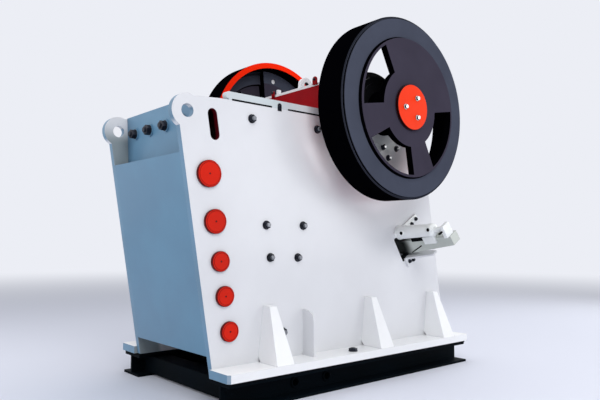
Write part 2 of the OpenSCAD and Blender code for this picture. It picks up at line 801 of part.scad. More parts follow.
module pitman() {
  pitch = (2 * pitman_half_w - pitman_rib_t) / 3;
  lug_t = 52;
  bar_z1 = guard_top_z + seat_gap + guard_bar[0];
  color("white") difference() {
    union() {
      across(-pitman_half_w, pitman_half_w) {
        polygon([
          [moving_back_y(pitman_bottom_z), pitman_bottom_z],
          [pitman_face_y(pitman_bottom_z), pitman_bottom_z],
          [pitman_face_y(pitman_front_z), pitman_front_z],
          [moving_back_y(pitman_front_z), pitman_front_z]
        ]);
        polygon([
          toggle_point(-toggle_l - toggle_gap, -130), toggle_point(-toggle_l - toggle_gap, 130),
          toggle_point(-toggle_l - 200, 130), toggle_point(-toggle_l - 200, -130)
        ]);
      }
      bar_x(-pitman_half_w, pitman_half_w, eccentric_y, eccentric_z, barrel_r);
      for (i = [0:3]) {
        x0 = -pitman_half_w + i * pitch;
        across(x0, x0 + pitman_rib_t) pitman_rib_outline();
      }
      toggle_frame() for (side = [-1, 1]) rod_anchor(side);
      bar_x(-lug_t / 2, lug_t / 2, lug_y, lug_z, lug_r);
      across(-lug_t / 2, lug_t / 2) polygon([
        [guard_top_y + guard_t + seat_gap, guard_top_z - 40], [lug_y - lug_r - 3, bar_z1],
        [lug_y - 0.93 * lug_r, lug_z + 0.38 * lug_r], [lug_y + lug_r, lug_z],
        [lug_y + 3 * lug_r, eccentric_z + barrel_r / 2], [eccentric_y - barrel_r + 60, eccentric_z + barrel_r / 4]
      ]);
      translate([-die_half_w, guard_top_y, guard_top_z + seat_gap])
        cube([2 * die_half_w, guard_bar[1], guard_bar[0]]);
      for (i = [0:3]) translate([-pitman_half_w + i * pitch, 0, 0]) across(0, pitman_rib_t) polygon([
        [guard_top_y + guard_t + seat_gap, guard_top_z - 60],
        [guard_top_y + guard_t + seat_gap, guard_top_z + guard_bar[0] / 2],
        [guard_top_y + guard_bar[1], guard_top_z + guard_bar[0] / 2],
        [eccentric_y - barrel_r / 2, eccentric_z + 0.8 * barrel_r],
        [eccentric_y - 0.9 * barrel_r, eccentric_z + barrel_r / 4]
      ]);
    }
    bar_x(-pitman_half_w - over, pitman_half_w + over, eccentric_y, eccentric_z, bearing_r);
    bar_x(-lug_t, lug_t, lug_y, lug_z, lug_hole_r);
  }
}

module pitman_bearings() {
  color("silver") for (side = ["right", "left"]) on_side(side)
    ring_x(pitman_half_w - 230, pitman_half_w - 20, eccentric_y, eccentric_z, bearing_r - fit, eccentric_r + fit);
}

// Wedge that locks the moving die against the pitman's face
module jaw_wedge() {
  z0 = die_l + seat_gap;
  color("darkred") moving_frame() across(-die_half_w, die_half_w) polygon([
    [0, z0], [die_t - tooth_d, z0], [die_t - tooth_d - 40, z0 + jaw_wedge_h], [0, z0 + jaw_wedge_h]
  ]);
}

// Sloping guard between the jaw wedge and the pitman's top
module pitman_guard() {
  y0 = moving_back_y(pitman_front_z) + 10;
  color("darkred") {
    across(-die_half_w, die_half_w) polygon([
      [y0, pitman_front_z], [y0 + 2 * guard_t, pitman_front_z],
      [guard_top_y + guard_t, guard_top_z], [guard_top_y, guard_top_z]
    ]);
  }
}

// Toggle plate and its rear seat

// How far a wedge reaches into the frame, and its taper
wedge_inner = 420;
wedge_taper = 0.15;
wedge_top = wedge_h / 2 - wedge_drop;

// The toggle plate is a little narrower than the pitman, and its seat a little narrower than the frame
toggle_inset = 50;
seat_inset = 65;

module toggle_plate() {
  color("dimgray") toggle_frame() across(toggle_inset - pitman_half_w, pitman_half_w - toggle_inset) {
    translate([-toggle_l + toggle_t / 2, -toggle_t / 2]) square([toggle_l - toggle_t, toggle_t]);
    for (s = [-toggle_l + toggle_t / 2, -toggle_t / 2]) translate([s, 0]) circle(d = toggle_t);
  }
}

module toggle_seat() {
  // Lies behind the wedges' sloping fronts, which come nearest at their upper edges
  function back_s(x) = seat_block_t - seat_gap
    + wedge_taper * (half_w - x - wedge_top * sin(wedge_rise)) / cos(wedge_rise);
  end_x = inner_x - seat_inset;
  mid_x = half_w - wedge_inner * cos(wedge_rise);
  color("lightgray") toggle_frame() translate([0, 0, -120]) linear_extrude(240) polygon([
    [-end_x, 0], [end_x, 0], [end_x, back_s(end_x)], [mid_x, back_s(mid_x)],
    [-mid_x, back_s(mid_x)], [-end_x, back_s(end_x)]
  ]);
}

// Adjusting wedges and the cylinders that move them

module wedge_frame() {
  toggle_frame() translate([half_w, 0, 0]) rotate([0, -wedge_rise, 0]) children();
}

module adjusting_wedge(side) {
  color("silver") on_side(side) wedge_frame() intersection() {
    translate([0, seat_block_t, wedge_top - wedge_h]) linear_extrude(wedge_h) polygon([
      [-wedge_inner, wedge_inner * wedge_taper], [-wedge_inner, wedge_t],
      [wedge_out, wedge_t], [wedge_out, 0], [0, 0]
    ]);
    translate([0, seat_block_t + wedge_t + over, 0]) rotate([90, 0, 0])
      linear_extrude(wedge_t + 2 * over) polygon([
        [-wedge_inner - over, wedge_top - wedge_h], [0, wedge_top - wedge_h],
        [wedge_out + over, wedge_top - wedge_h + wedge_waste], [wedge_out + over, wedge_top + over],
        [-wedge_inner - over, wedge_top + over]
      ]);
  }
}

// Cylinder on a forked end, its bracket on the side plate, and the arm that its rod pulls
module wedge_cylinder(side) {
  n = wedge_top + cylinder_r + 36;
  s = seat_block_t + 20;
  plate_n = wedge_window_h / 2 + 2;
  base_t = 22;
  pin_x = 88;
  fork_t = 20;
  fork_l = 76;
  lug_t = 44;
  body_x = pin_x + 62;
  color("lightgray") on_side(side) union() {
    toggle_frame() translate([half_w, s - 90, plate_n])
      cube([base_t, 440, n + cylinder_r + 14 - plate_n]);
    wedge_frame() {
      translate([base_t, s - lug_t / 2, n - 34]) cube([pin_x + 28 - base_t, lug_t, 68]);
      translate([pin_x, s - lug_t / 2 - fork_t - 9, n]) rotate([-90, 0, 0])
        cylinder(h = lug_t + 2 * fork_t + 18, r = 20);
      for (turn = [-1, 1]) translate([pin_x - 40, s + turn * (lug_t + fork_t) / 2 - fork_t / 2, n - fork_l / 2])
        cube([body_x + 10 - pin_x + 40, fork_t, fork_l]);
      translate([body_x, s, n]) rotate([0, 90, 0]) cylinder(h = wedge_out - 100 - body_x, r = cylinder_r);
      translate([wedge_out - 110, s, n]) rotate([0, 90, 0]) cylinder(h = 70, r = cylinder_r - 22);
      translate([wedge_out - 50, s - 60, wedge_top]) cube([45, 120, n - wedge_top + 50]);
    }
  }
}

// Rods that hold the pitman against the toggle plate, with their springs

module tension_rods() {
  s0 = -toggle_l - 90;
  spring_s = casting_s0 + rod_ear_t + toggle_gap;
  color("gray") toggle_frame() for (side = [-1, 1]) translate([side * rod_x, 0, -rod_drop]) {
    translate([0, s0, 0]) rotate([-90, 0, 0]) cylinder(h = spring_s + spring_l + 130 - s0, r = rod_r);
    translate([0, spring_s + 20, 0]) rotate([-90, 0, 0]) cylinder(h = spring_l, r = spring_r);
    for (end = [spring_s, spring_s + 20 + spring_l]) translate([0, end, 0]) rotate([-90, 0, 0])
      cylinder(h = 20, r = spring_disc_r);
  }
}

side_plate("right");  // side_plate_right
side_plate("left");  // side_plate_left
front_wall();
rear_casting();
rear_tie_beam();
foot_flange("right");  // foot_flange_right
foot_flange("left");  // foot_flange_left
rubber_pad("right");  // rubber_pad_right
rubber_pad("left");  // rubber_pad_left
skid_beam("right");  // skid_beam_right
skid_beam("left");  // skid_beam_left
skid_cross_beams();
skid_lifting_tubes();
pin_covers("right");  // pin_covers_right
pin_covers("left");  // pin_covers_left
fixed_jaw_die();
clamp_bar();
clamp_studs();
cheek_plate("right", cheek_split_z, chamber_top_z);  // cheek_plate_upper_right
cheek_plate("left", cheek_split_z, chamber_top_z);  // cheek_plate_upper_left
cheek_plate("right", moving_die_z, cheek_split_z);  // cheek_plate_lower_right
cheek_plate("left", moving_die_z, cheek_split_z);  // cheek_plate_lower_left
top_rail("right");  // top_rail_right
top_rail("left");  // top_rail_left
bearing_base("right");  // bearing_base_right
bearing_base("left");  // bearing_base_left
bearing_cap("right");  // bearing_cap_right
bearing_cap("left");  // bearing_cap_left
main_bearing("right");  // main_bearing_right
main_bearing("left");  // main_bearing_left
toggle_plate();
toggle_seat();
adjusting_wedge("right");  // adjusting_wedge_right
adjusting_wedge("left");  // adjusting_wedge_left
wedge_cylinder("right");  // wedge_cylinder_right
wedge_cylinder("left");  // wedge_cylinder_left
eccentric_shaft();
flywheel("right");  // flywheel_right
flywheel("left");  // flywheel_left
hub_cover("right");  // hub_cover_right
hub_cover("left");  // hub_cover_left
pitman();
pitman_bearings();
moving_jaw_die();
jaw_wedge();
pitman_guard();
tension_rods();
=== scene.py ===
"""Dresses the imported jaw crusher: finishes, fasteners, springs, studio light and camera.

Lengths are in metres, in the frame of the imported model: X runs across the machine,
-Y is the feed end, +Z is up and Z = 0 is the floor. What is built for one side is drawn
on the right and mirrored to the left.
"""

import logging
import math
from dataclasses import dataclass
from enum import Enum
from functools import cached_property
from typing import Any, Iterable, Optional, Sequence

import bmesh
import bpy
from mathutils import Matrix, Vector


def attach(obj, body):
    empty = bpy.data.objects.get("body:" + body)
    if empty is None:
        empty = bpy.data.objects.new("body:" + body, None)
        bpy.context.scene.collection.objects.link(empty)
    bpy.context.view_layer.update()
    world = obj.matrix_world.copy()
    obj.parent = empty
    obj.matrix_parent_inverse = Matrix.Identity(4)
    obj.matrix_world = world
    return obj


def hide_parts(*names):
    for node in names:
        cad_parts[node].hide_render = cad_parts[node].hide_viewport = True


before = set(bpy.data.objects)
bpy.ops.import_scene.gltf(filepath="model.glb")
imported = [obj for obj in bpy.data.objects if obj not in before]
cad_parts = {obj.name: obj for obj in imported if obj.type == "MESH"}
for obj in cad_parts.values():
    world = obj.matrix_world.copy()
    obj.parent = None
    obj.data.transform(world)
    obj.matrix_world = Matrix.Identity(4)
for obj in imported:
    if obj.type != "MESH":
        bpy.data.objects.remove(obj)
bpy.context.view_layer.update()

LOG = logging.getLogger("jaw_crusher")

Colour = tuple[int, int, int]
Tone = tuple[float, float, float, float]
Point = tuple[float, float, float]
Flat = tuple[float, float]

# Places on the machine
SHAFT_Y = 0.524
SHAFT_Z = 2.784
HALF_WIDTH = 0.725
FLANGE_TOP = 0.313
FRONT_EDGE = -1.42016
FRONT_LEAN = 0.166
TOGGLE_ANGLE = math.radians(31.6)

# Directions and frames
OUTWARD = (1.0, 0.0, 0.0)
TO_FEED_END = (0.0, -1.0, 0.0)
UPWARD = (0.0, 0.0, 1.0)
MACHINE = Matrix.Identity(4)
TOGGLE = Matrix.Translation((0.0, 1.0, 1.3)) @ Matrix.Rotation(TOGGLE_ANGLE, 4, "X")

# Frames for outlines that are drawn in Y and Z, and in X and Z
DRAWN_FROM_SIDE = Matrix(((0, 0, 1, 0), (1, 0, 0, 0), (0, 1, 0, 0), (0, 0, 0, 1)))
DRAWN_FROM_FRONT = Matrix(((1, 0, 0, 0), (0, 0, -1, 0), (0, 1, 0, 0), (0, 0, 0, 1)))

# Curve that turns screen colours into linear ones
SCREEN_TOE = 0.04045
SCREEN_TOE_SLOPE = 12.92
SCREEN_SHIFT = 0.055
SCREEN_POWER = 2.4

BLACK = (0.0, 0.0, 0.0, 1.0)
MERGE_DISTANCE = 1e-6


def linear(colour: Colour) -> Tone:
    """Turns a screen colour into the linear one that shaders take.

    Args:
        colour: Red, green and blue from 0 to 255.

    Returns:
        Linear red, green and blue, and full opacity.
    """
    parts = []
    for part in colour:
        value = part / 255
        if value <= SCREEN_TOE:
            parts.append(value / SCREEN_TOE_SLOPE)
        else:
            parts.append(((value + SCREEN_SHIFT) / (1 + SCREEN_SHIFT)) ** SCREEN_POWER)
    return parts[0], parts[1], parts[2], 1.0


def shade(colour: Colour, amount: float) -> Colour:
    """Makes a colour lighter or darker.

    Args:
        colour: Red, green and blue from 0 to 255.
        amount: Share to add to each part, negative to darken.

    Returns:
        The new colour, kept within 0 to 255.
    """
    red, green, blue = (int(max(0, min(255, part * (1 + amount)))) for part in colour)
    return red, green, blue


class Side(Enum):
    """The two sides of the machine, as the sign of X."""

    RIGHT = 1
    LEFT = -1

    @property
    def label(self) -> str:
        """Name of the side in the names of nodes and pieces."""
        return self.name.lower()


def both(*names: str) -> list[str]:
    """Names of the nodes on both sides."""
    return [f"{name}_{side.label}" for name in names for side in Side]


class Signal:
    """A shader socket that takes part in arithmetic."""

    def __init__(self, sheet: "NodeSheet", socket: bpy.types.NodeSocket) -> None:
        """Keeps the socket and the sheet that it is on."""
        self.sheet = sheet
        self.socket = socket

    def _math(self, operation: str, *terms: Any) -> "Signal":
        """Adds one Math node that works on the given terms."""
        return self.sheet.add("ShaderNodeMath", {"operation": operation}, dict(enumerate(terms)))

    def __add__(self, other: Any) -> "Signal":
        """Adds a number or another signal."""
        return self._math("ADD", self, other)

    __radd__ = __add__

    def __sub__(self, other: Any) -> "Signal":
        """Takes away a number or another signal."""
        return self._math("SUBTRACT", self, other)

    def __rsub__(self, other: Any) -> "Signal":
        """Takes this signal away from a number."""
        return self._math("SUBTRACT", other, self)

    def __mul__(self, other: Any) -> "Signal":
        """Multiplies by a number or another signal."""
        return self._math("MULTIPLY", self, other)

    __rmul__ = __mul__

    def __abs__(self) -> "Signal":
        """Drops the sign."""
        return self._math("ABSOLUTE", self)

    def diagonal(self, other: "Signal") -> "Signal":
        """Length of the diagonal over this signal and another."""
        square = self * self + other * other
        return self._math("POWER", square, 0.5)

    def ramp(self, low: float, high: float) -> "Signal":
        """Climbs smoothly from 0 at low to 1 at high.

        Args:
            low: Value that gives 0.
            high: Value that gives 1, which may be the smaller of the two.

        Returns:
            The signal between 0 and 1.
        """
        settings = {"interpolation_type": "SMOOTHSTEP", "clamp": True}
        spread = {"Value": self, "From Min": low, "From Max": high, "To Min": 0.0, "To Max": 1.0}
        if low > high:
            spread |= {"From Min": high, "From Max": low, "To Min": 1.0, "To Max": 0.0}
        return self.sheet.add("ShaderNodeMapRange", settings, spread)

    def past(self, border: float, blend: float = 0.001) -> "Signal":
        """Turns from 0 to 1 at a border, blended over a short way to either side."""
        return self.ramp(border - blend, border + blend)

    def within(self, span: Flat, blend: float = 0.001) -> "Signal":
        """Gives 1 inside a span and 0 outside, blended over a short way around it."""
        low, high = span
        return self.ramp(low - blend, low) * self.ramp(high + blend, high)


class NodeSheet:
    """The nodes of one material or of the world, with the signals that finishes share."""

    def __init__(self, owner: bpy.types.ID, patch: float = 1.0) -> None:
        """Empties the nodes of a material or world.

        Args:
            owner: The material or the world.
            patch: Number of tone patches to a metre, for the broad pattern.
        """
        owner.use_nodes = True
        self.owner = owner
        self.patch = patch
        self.tree = owner.node_tree
        self.tree.nodes.clear()

    def add(
        self,
        kind: str,
        settings: Optional[dict[str, Any]] = None,
        inputs: Optional[dict[Any, Any]] = None,
        output: Any = 0,
    ) -> Signal:
        """Adds a node, sets it up and feeds it.

        Args:
            kind: Blender's type of the node.
            settings: Properties of the node, set before its sockets.
            inputs: Values or signals by the socket's name or number.
            output: Name or number of the socket that is handed back.

        Returns:
            The chosen output.
        """
        node = self.tree.nodes.new(kind)
        for key, value in (settings or {}).items():
            setattr(node, key, value)
        for key, value in (inputs or {}).items():
            if isinstance(value, Signal):
                self.tree.links.new(value.socket, node.inputs[key])
            else:
                node.inputs[key].default_value = value
        return Signal(self, node.outputs[output])

    @cached_property
    def place(self) -> Signal:
        """Position on the piece, in the machine's frame at rest."""
        return self.add("ShaderNodeTexCoord", output="Object")

    @cached_property
    def xyz(self) -> tuple[Signal, Signal, Signal]:
        """The three parts of that position."""
        return self.parts(self.place)

    @cached_property
    def facing(self) -> Signal:
        """Direction that the surface faces."""
        return self.add("ShaderNodeNewGeometry", output="Normal")

    @cached_property
    def side(self) -> Signal:
        """How far the surface faces to the right, or below 0 to the left."""
        return self.parts(self.facing)[0]

    @cached_property
    def broad(self) -> Signal:
        """Slow cloudy pattern between 0 and 1."""
        return self.noise(self.place, self.patch, detail=4.0, rough=0.55).ramp(0.3, 0.7)

    @cached_property
    def depth(self) -> Signal:
        """Distance behind the side plates' leaning front edge."""
        _, y, z = self.xyz
        return y + FRONT_LEAN * z - FRONT_EDGE

    def parts(self, vector: Signal) -> tuple[Signal, Signal, Signal]:
        """Splits a vector into its three parts."""
        outputs = self.add("ShaderNodeSeparateXYZ", None, {0: vector}).socket.node.outputs
        return Signal(self, outputs[0]), Signal(self, outputs[1]), Signal(self, outputs[2])

    def noise(
        self, vector: Signal, scale: float, detail: float = 3.0, rough: float = 0.5
    ) -> Signal:
        """Cloudy pattern between 0 and 1 with the given number of clouds to a metre."""
        inputs = {"Vector": vector, "Scale": scale, "Detail": detail, "Roughness": rough}
        return self.add("ShaderNodeTexNoise", None, inputs)

    def stretch(self, vector: Signal, scale: Point) -> Signal:
        """Packs a pattern closer along each axis."""
        return self.add("ShaderNodeMapping", None, {"Vector": vector, "Scale": scale})

    def mix(self, factor: Any, first: Any, second: Any) -> Signal:
        """Blends two colours."""
        inputs = {0: factor, 6: first, 7: second}
        return self.add("ShaderNodeMix", {"data_type": "RGBA"}, inputs, 2)

    def mottled(self, pattern: Signal, colour: Colour, spread: float) -> Signal:
        """Lets a colour wander to either side along a pattern."""
        return self.mix(pattern, linear(shade(colour, -spread)), linear(shade(colour, spread)))

    def dot(self, first: Any, second: Any) -> Signal:
        """Dot product of two vectors."""
        settings = {"operation": "DOT_PRODUCT"}
        return self.add("ShaderNodeVectorMath", settings, {0: first, 1: second}, "Value")

    def finish(self, **inputs: Any) -> bpy.types.Material:
        """Ends a material with the main shader.

        Args:
            inputs: Values or signals by the socket's name, with _ for a space.

        Returns:
            The material.
        """
        named = {key.replace("_", " "): value for key, value in inputs.items()}
        self.close("ShaderNodeOutputMaterial", self.add("ShaderNodeBsdfPrincipled", None, named))
        return self.owner

    def close(self, kind: str, shader: Signal) -> None:
        """Adds the output node and joins a shader to it."""
        node = self.tree.nodes.new(kind)
        self.tree.links.new(shader.socket, node.inputs["Surface"])


MADE: dict[str, bpy.types.Material] = {}


@dataclass(frozen=True)
class Finish:
    """A paint, a casting skin, bare metal or rubber.

    A pair of limits, here and in the finishes below, gives none of a tone at the first
    value and all of it at the second.

    Attributes:
        name: Name of the material.
        colour: Its middle tone.
        roughness: How matt it is.
        metallic: 1 for bare metal.
        coat: Weight of a clear gloss layer.
        mottle: How far the tone wanders to either side.
        patch: Number of tone patches to a metre.
        grain: Height of the fine relief in metres.
        grain_scale: Number of grains to a metre.
        edge: Radius by which edges look rounded.
        edge_tone: How much lighter or darker the edges are.
        dust: How much pale dust lies near the floor.
        specular: Strength of the plain reflection.
        wear: Limits of the edge tone, by how sharply the surface turns.
        wear_share: How strong the edge tone is.
        gloss_spread: How far the roughness wanders with the tone.
        dust_colour: Tone of the dust.
        dust_height: Limits of the dust, as heights.
        dust_scale: Number of dust clouds to a metre.
        dust_matt: Roughness that full dust adds.
        coat_roughness: How matt the clear layer is.
    """

    name: str
    colour: Colour
    roughness: float = 0.35
    metallic: float = 0.0
    coat: float = 0.0
    mottle: float = 0.05
    patch: float = 1.3
    grain: float = 0.00025
    grain_scale: float = 160.0
    edge: float = 0.004
    edge_tone: float = -0.12
    dust: float = 0.0
    specular: float = 0.35
    wear: Flat = (0.02, 0.3)
    wear_share: float = 0.5
    gloss_spread: float = 0.08
    dust_colour: Colour = (196, 192, 184)
    dust_height: Flat = (0.55, 0.0)
    dust_scale: float = 9.0
    dust_matt: float = 0.4
    coat_roughness: float = 0.12

    def tone(self, sheet: NodeSheet) -> Signal:
        """Colour over the surface before the edges and the dust."""
        return sheet.mottled(sheet.broad, self.colour, self.mottle)

    def relief(self, sheet: NodeSheet) -> Signal:
        """Height of the surface's fine relief, between 0 and 1."""
        return sheet.noise(sheet.place, self.grain_scale, detail=2.0, rough=0.6)

    def material(self) -> bpy.types.Material:
        """Builds the material once and hands it back after that.

        Returns:
            The material.
        """
        if self.name not in MADE:
            MADE[self.name] = self.build()
        return MADE[self.name]

    def build(self) -> bpy.types.Material:
        """Builds the material's nodes.

        Returns:
            The material.
        """
        sheet = NodeSheet(bpy.data.materials.new(f"{self.name}_finish"), self.patch)
        rounded = sheet.add("ShaderNodeBevel", {"samples": 4}, {"Radius": self.edge})
        worn = (1.0 - sheet.dot(rounded, sheet.facing)).ramp(*self.wear) * self.wear_share
        colour = sheet.mix(worn, self.tone(sheet), linear(shade(self.colour, self.edge_tone)))
        roughness = self.roughness + self.gloss_spread * (sheet.broad - 0.5)
        if self.dust:
            _, _, height = sheet.xyz
            clouds = sheet.noise(sheet.place, self.dust_scale, detail=4.0, rough=0.6)
            settled = height.ramp(*self.dust_height) * clouds * self.dust
            colour = sheet.mix(settled, colour, linear(self.dust_colour))
            roughness = roughness + settled * self.dust_matt
        bump = {"Strength": 1.0, "Distance": self.grain, "Height": self.relief(sheet)}
        bump["Normal"] = rounded
        return sheet.finish(
            Base_Color=colour, Roughness=roughness, Metallic=self.metallic,
            Coat_Weight=self.coat, Coat_Roughness=self.coat_roughness,
            Specular_IOR_Level=self.specular, Normal=sheet.add("ShaderNodeBump", None, bump),
        )


@dataclass(frozen=True)
class FrontedPaint(Finish):
    """White side plate paint that takes painted shade and other tones at the front.

    The front edge is white paint given the front wall's blue-grey as painted shade, the inner
    face beside the set-back wall gets a painted shade, and the inside of the oblong slot is red.
    A depth is a distance behind the plate's front edge.
    """

    # Blue-grey painted shade on the front-facing edge
    front_shade_colour: Colour = (100, 138, 165)
    front_shade_mottle: float = 0.05
    front_shade_outward: Point = (0.0, -0.9865, 0.1638)
    front_shade_turn: Flat = (0.45, 0.8)
    front_shade_depth: Flat = (0.20, 0.15)
    # Painted shade on the inward faces beside the set-back wall
    recess_shade_colour: Colour = (100, 118, 120)
    recess_shade_share: float = 0.75
    recess_shade_turn: Flat = (-0.3, -0.6)
    recess_shade_depth: Flat = (0.26, 0.20)
    recess_shade_height: Flat = (2.62, 2.40)
    slot_colour: Colour = (104, 9, 24)
    slot_depth: Flat = (0.292, 0.396)
    slot_height: Flat = (2.28, 2.61)
    slot_x: Flat = (HALF_WIDTH - 0.003, HALF_WIDTH - 0.005)

    def tone(self, sheet: NodeSheet) -> Signal:
        """White, painted shade in the recess, red in the slot and blue-grey painted shade on the
        front edge.

        Args:
            sheet: The sheet to add the nodes to.

        Returns:
            The colour.
        """
        x, _, z = sheet.xyz
        depth = sheet.depth
        # Inward faces in the recess get the painted shade
        recess = (sheet.side * x).ramp(*self.recess_shade_turn) * depth.ramp(*self.recess_shade_depth)
        recess = recess * z.ramp(*self.recess_shade_height) * self.recess_shade_share
        colour = sheet.mix(recess, Finish.tone(self, sheet), linear(self.recess_shade_colour))
        slot = depth.within(self.slot_depth) * z.within(self.slot_height)
        slot = slot * abs(x).ramp(*self.slot_x)
        colour = sheet.mix(slot, colour, linear(self.slot_colour))
        # Faces that look to the front get the blue-grey painted shade
        front = sheet.dot(sheet.facing, self.front_shade_outward).ramp(*self.front_shade_turn)
        front = front * depth.ramp(*self.front_shade_depth)
        blue_grey = sheet.mottled(sheet.broad, self.front_shade_colour, self.front_shade_mottle)
        return sheet.mix(front, colour, blue_grey)


@dataclass(frozen=True)
class WallPaint(Finish):
    """Front wall of white paint given blue-grey as painted shade, turning dark crimson inside the
    machine.
    """

    inner_colour: Colour = (74, 9, 14)
    inner_depth: float = 0.235
    inner_blend: float = 0.002

    def tone(self, sheet: NodeSheet) -> Signal:
        """Blue-grey painted shade outside and crimson behind the wall."""
        inside = sheet.depth.past(self.inner_depth, self.inner_blend)
        return sheet.mix(inside, Finish.tone(self, sheet), linear(self.inner_colour))


@dataclass(frozen=True)
class RimmedPaint(Finish):
    """Paint of a round cover or a bolt's head whose rim is darkened as painted shade."""

    # Painted shade on the rim
    rim_shading_colour: Colour = (98, 10, 10)
    rim_shade_turn: Flat = (0.92, 0.70)

    def tone(self, sheet: NodeSheet) -> Signal:
        """Full tone on the flat face and a deep painted shade on the rim."""
        rim = abs(sheet.side).ramp(*self.rim_shade_turn)
        return sheet.mix(rim, Finish.tone(self, sheet), linear(self.rim_shading_colour))


@dataclass(frozen=True)
class WheelPaint(Finish):
    """Black wheel paint with a painted slate sheen on the outer faces, and an orange band inside
    the rim.

    A radius is measured from the shaft, and a reach from the middle of the machine.
    """

    swirl_scale: float = 3.0
    # Painted sheen on the outer faces of the black wheel
    face_sheen_colour: Colour = (60, 57, 69)
    face_sheen_mottle: float = 0.1
    face_sheen_turn: Flat = (0.6, 0.9)
    face_sheen_reach: Flat = (1.08, 1.11)
    # Lighter painted sheen on the outer ring
    rim_shading_colour: Colour = (69, 73, 86)
    rim_radius: float = 0.72
    lip_sheen_colour: Colour = (22, 22, 27)
    lip_radius: float = 0.928
    lip_sheen_share: float = 0.7
    band_colour: Colour = (242, 42, 14)
    band_radius: float = 0.872
    band_reach: Flat = (0.928, 0.924)
    band_turn: Flat = (-0.45, -0.75)

    def tone(self, sheet: NodeSheet) -> Signal:
        """Deep black, a painted slate sheen on the outer faces and orange on the inner band.

        Args:
            sheet: The sheet to add the nodes to.

        Returns:
            The colour.
        """
        x, y, z = sheet.xyz
        radius = (y - SHAFT_Y).diagonal(z - SHAFT_Z)
        swirl = sheet.noise(sheet.place, self.swirl_scale)
        # Slate tones, lighter on the outer ring and darker near the edge, are painted sheen
        web_sheen = sheet.mottled(swirl, self.face_sheen_colour, self.face_sheen_mottle)
        rim = sheet.mottled(swirl, self.rim_shading_colour, self.face_sheen_mottle)
        face = sheet.mix(radius.past(self.rim_radius), web_sheen, rim)
        lip_sheen = radius.past(self.lip_radius) * self.lip_sheen_share
        face = sheet.mix(lip_sheen, face, linear(self.lip_sheen_colour))
        outer = abs(sheet.side).ramp(*self.face_sheen_turn) * abs(x).ramp(*self.face_sheen_reach)
        colour = sheet.mix(outer, Finish.tone(self, sheet), face)
        band = radius.past(self.band_radius) * abs(x).ramp(*self.band_reach)
        band = band * (sheet.side * x).ramp(*self.band_turn)
        return sheet.mix(band, colour, linear(self.band_colour))


@dataclass(frozen=True)
class CastSkin(Finish):
    """Paint over the coarse skin of a casting."""

    lump_size: float = 5.0
    lump_share: float = 0.7

    def relief(self, sheet: NodeSheet) -> Signal:
        """Coarse lumps under a fine grain."""
        lumps = sheet.noise(sheet.place, self.grain_scale / self.lump_size, rough=0.6)
        return lumps * self.lump_share + Finish.relief(self, sheet) * (1 - self.lump_share)


@dataclass(frozen=True)
class TurnedSteel(Finish):
    """Bare steel with fine tool marks around an axis across the machine."""

    rings: Point = (14.0, 1.0, 1.0)

    def relief(self, sheet: NodeSheet) -> Signal:
        """Fine rings, closer together along the axis."""
        return sheet.noise(sheet.stretch(sheet.place, self.rings), self.grain_scale, detail=2.0)


@dataclass(frozen=True)
class PlateShadeSteel(Finish):
    """Wedge steel with painted shade where it enters the side plate."""

    # Painted shade where the wedge goes into the plate
    plate_shade_colour: Colour = (16, 20, 20)
    plate_shade_x: Flat = (0.90, HALF_WIDTH + 0.03)
    shade_wander: float = 0.05
    shade_wander_scale: float = 11.0

    def tone(self, sheet: NodeSheet) -> Signal:
        """Painted shade beside and inside the plate, and none further out.

        Args:
            sheet: The sheet to add the nodes to.

        Returns:
            The colour.
        """
        # Painted shade near the plate, its border wandering with a noise
        out = abs(sheet.xyz[0]) + self.shade_wander * sheet.noise(sheet.place, self.shade_wander_scale)
        plate_shade_mask = out.ramp(*self.plate_shade_x)
        return sheet.mix(plate_shade_mask, Finish.tone(self, sheet), linear(self.plate_shade_colour))


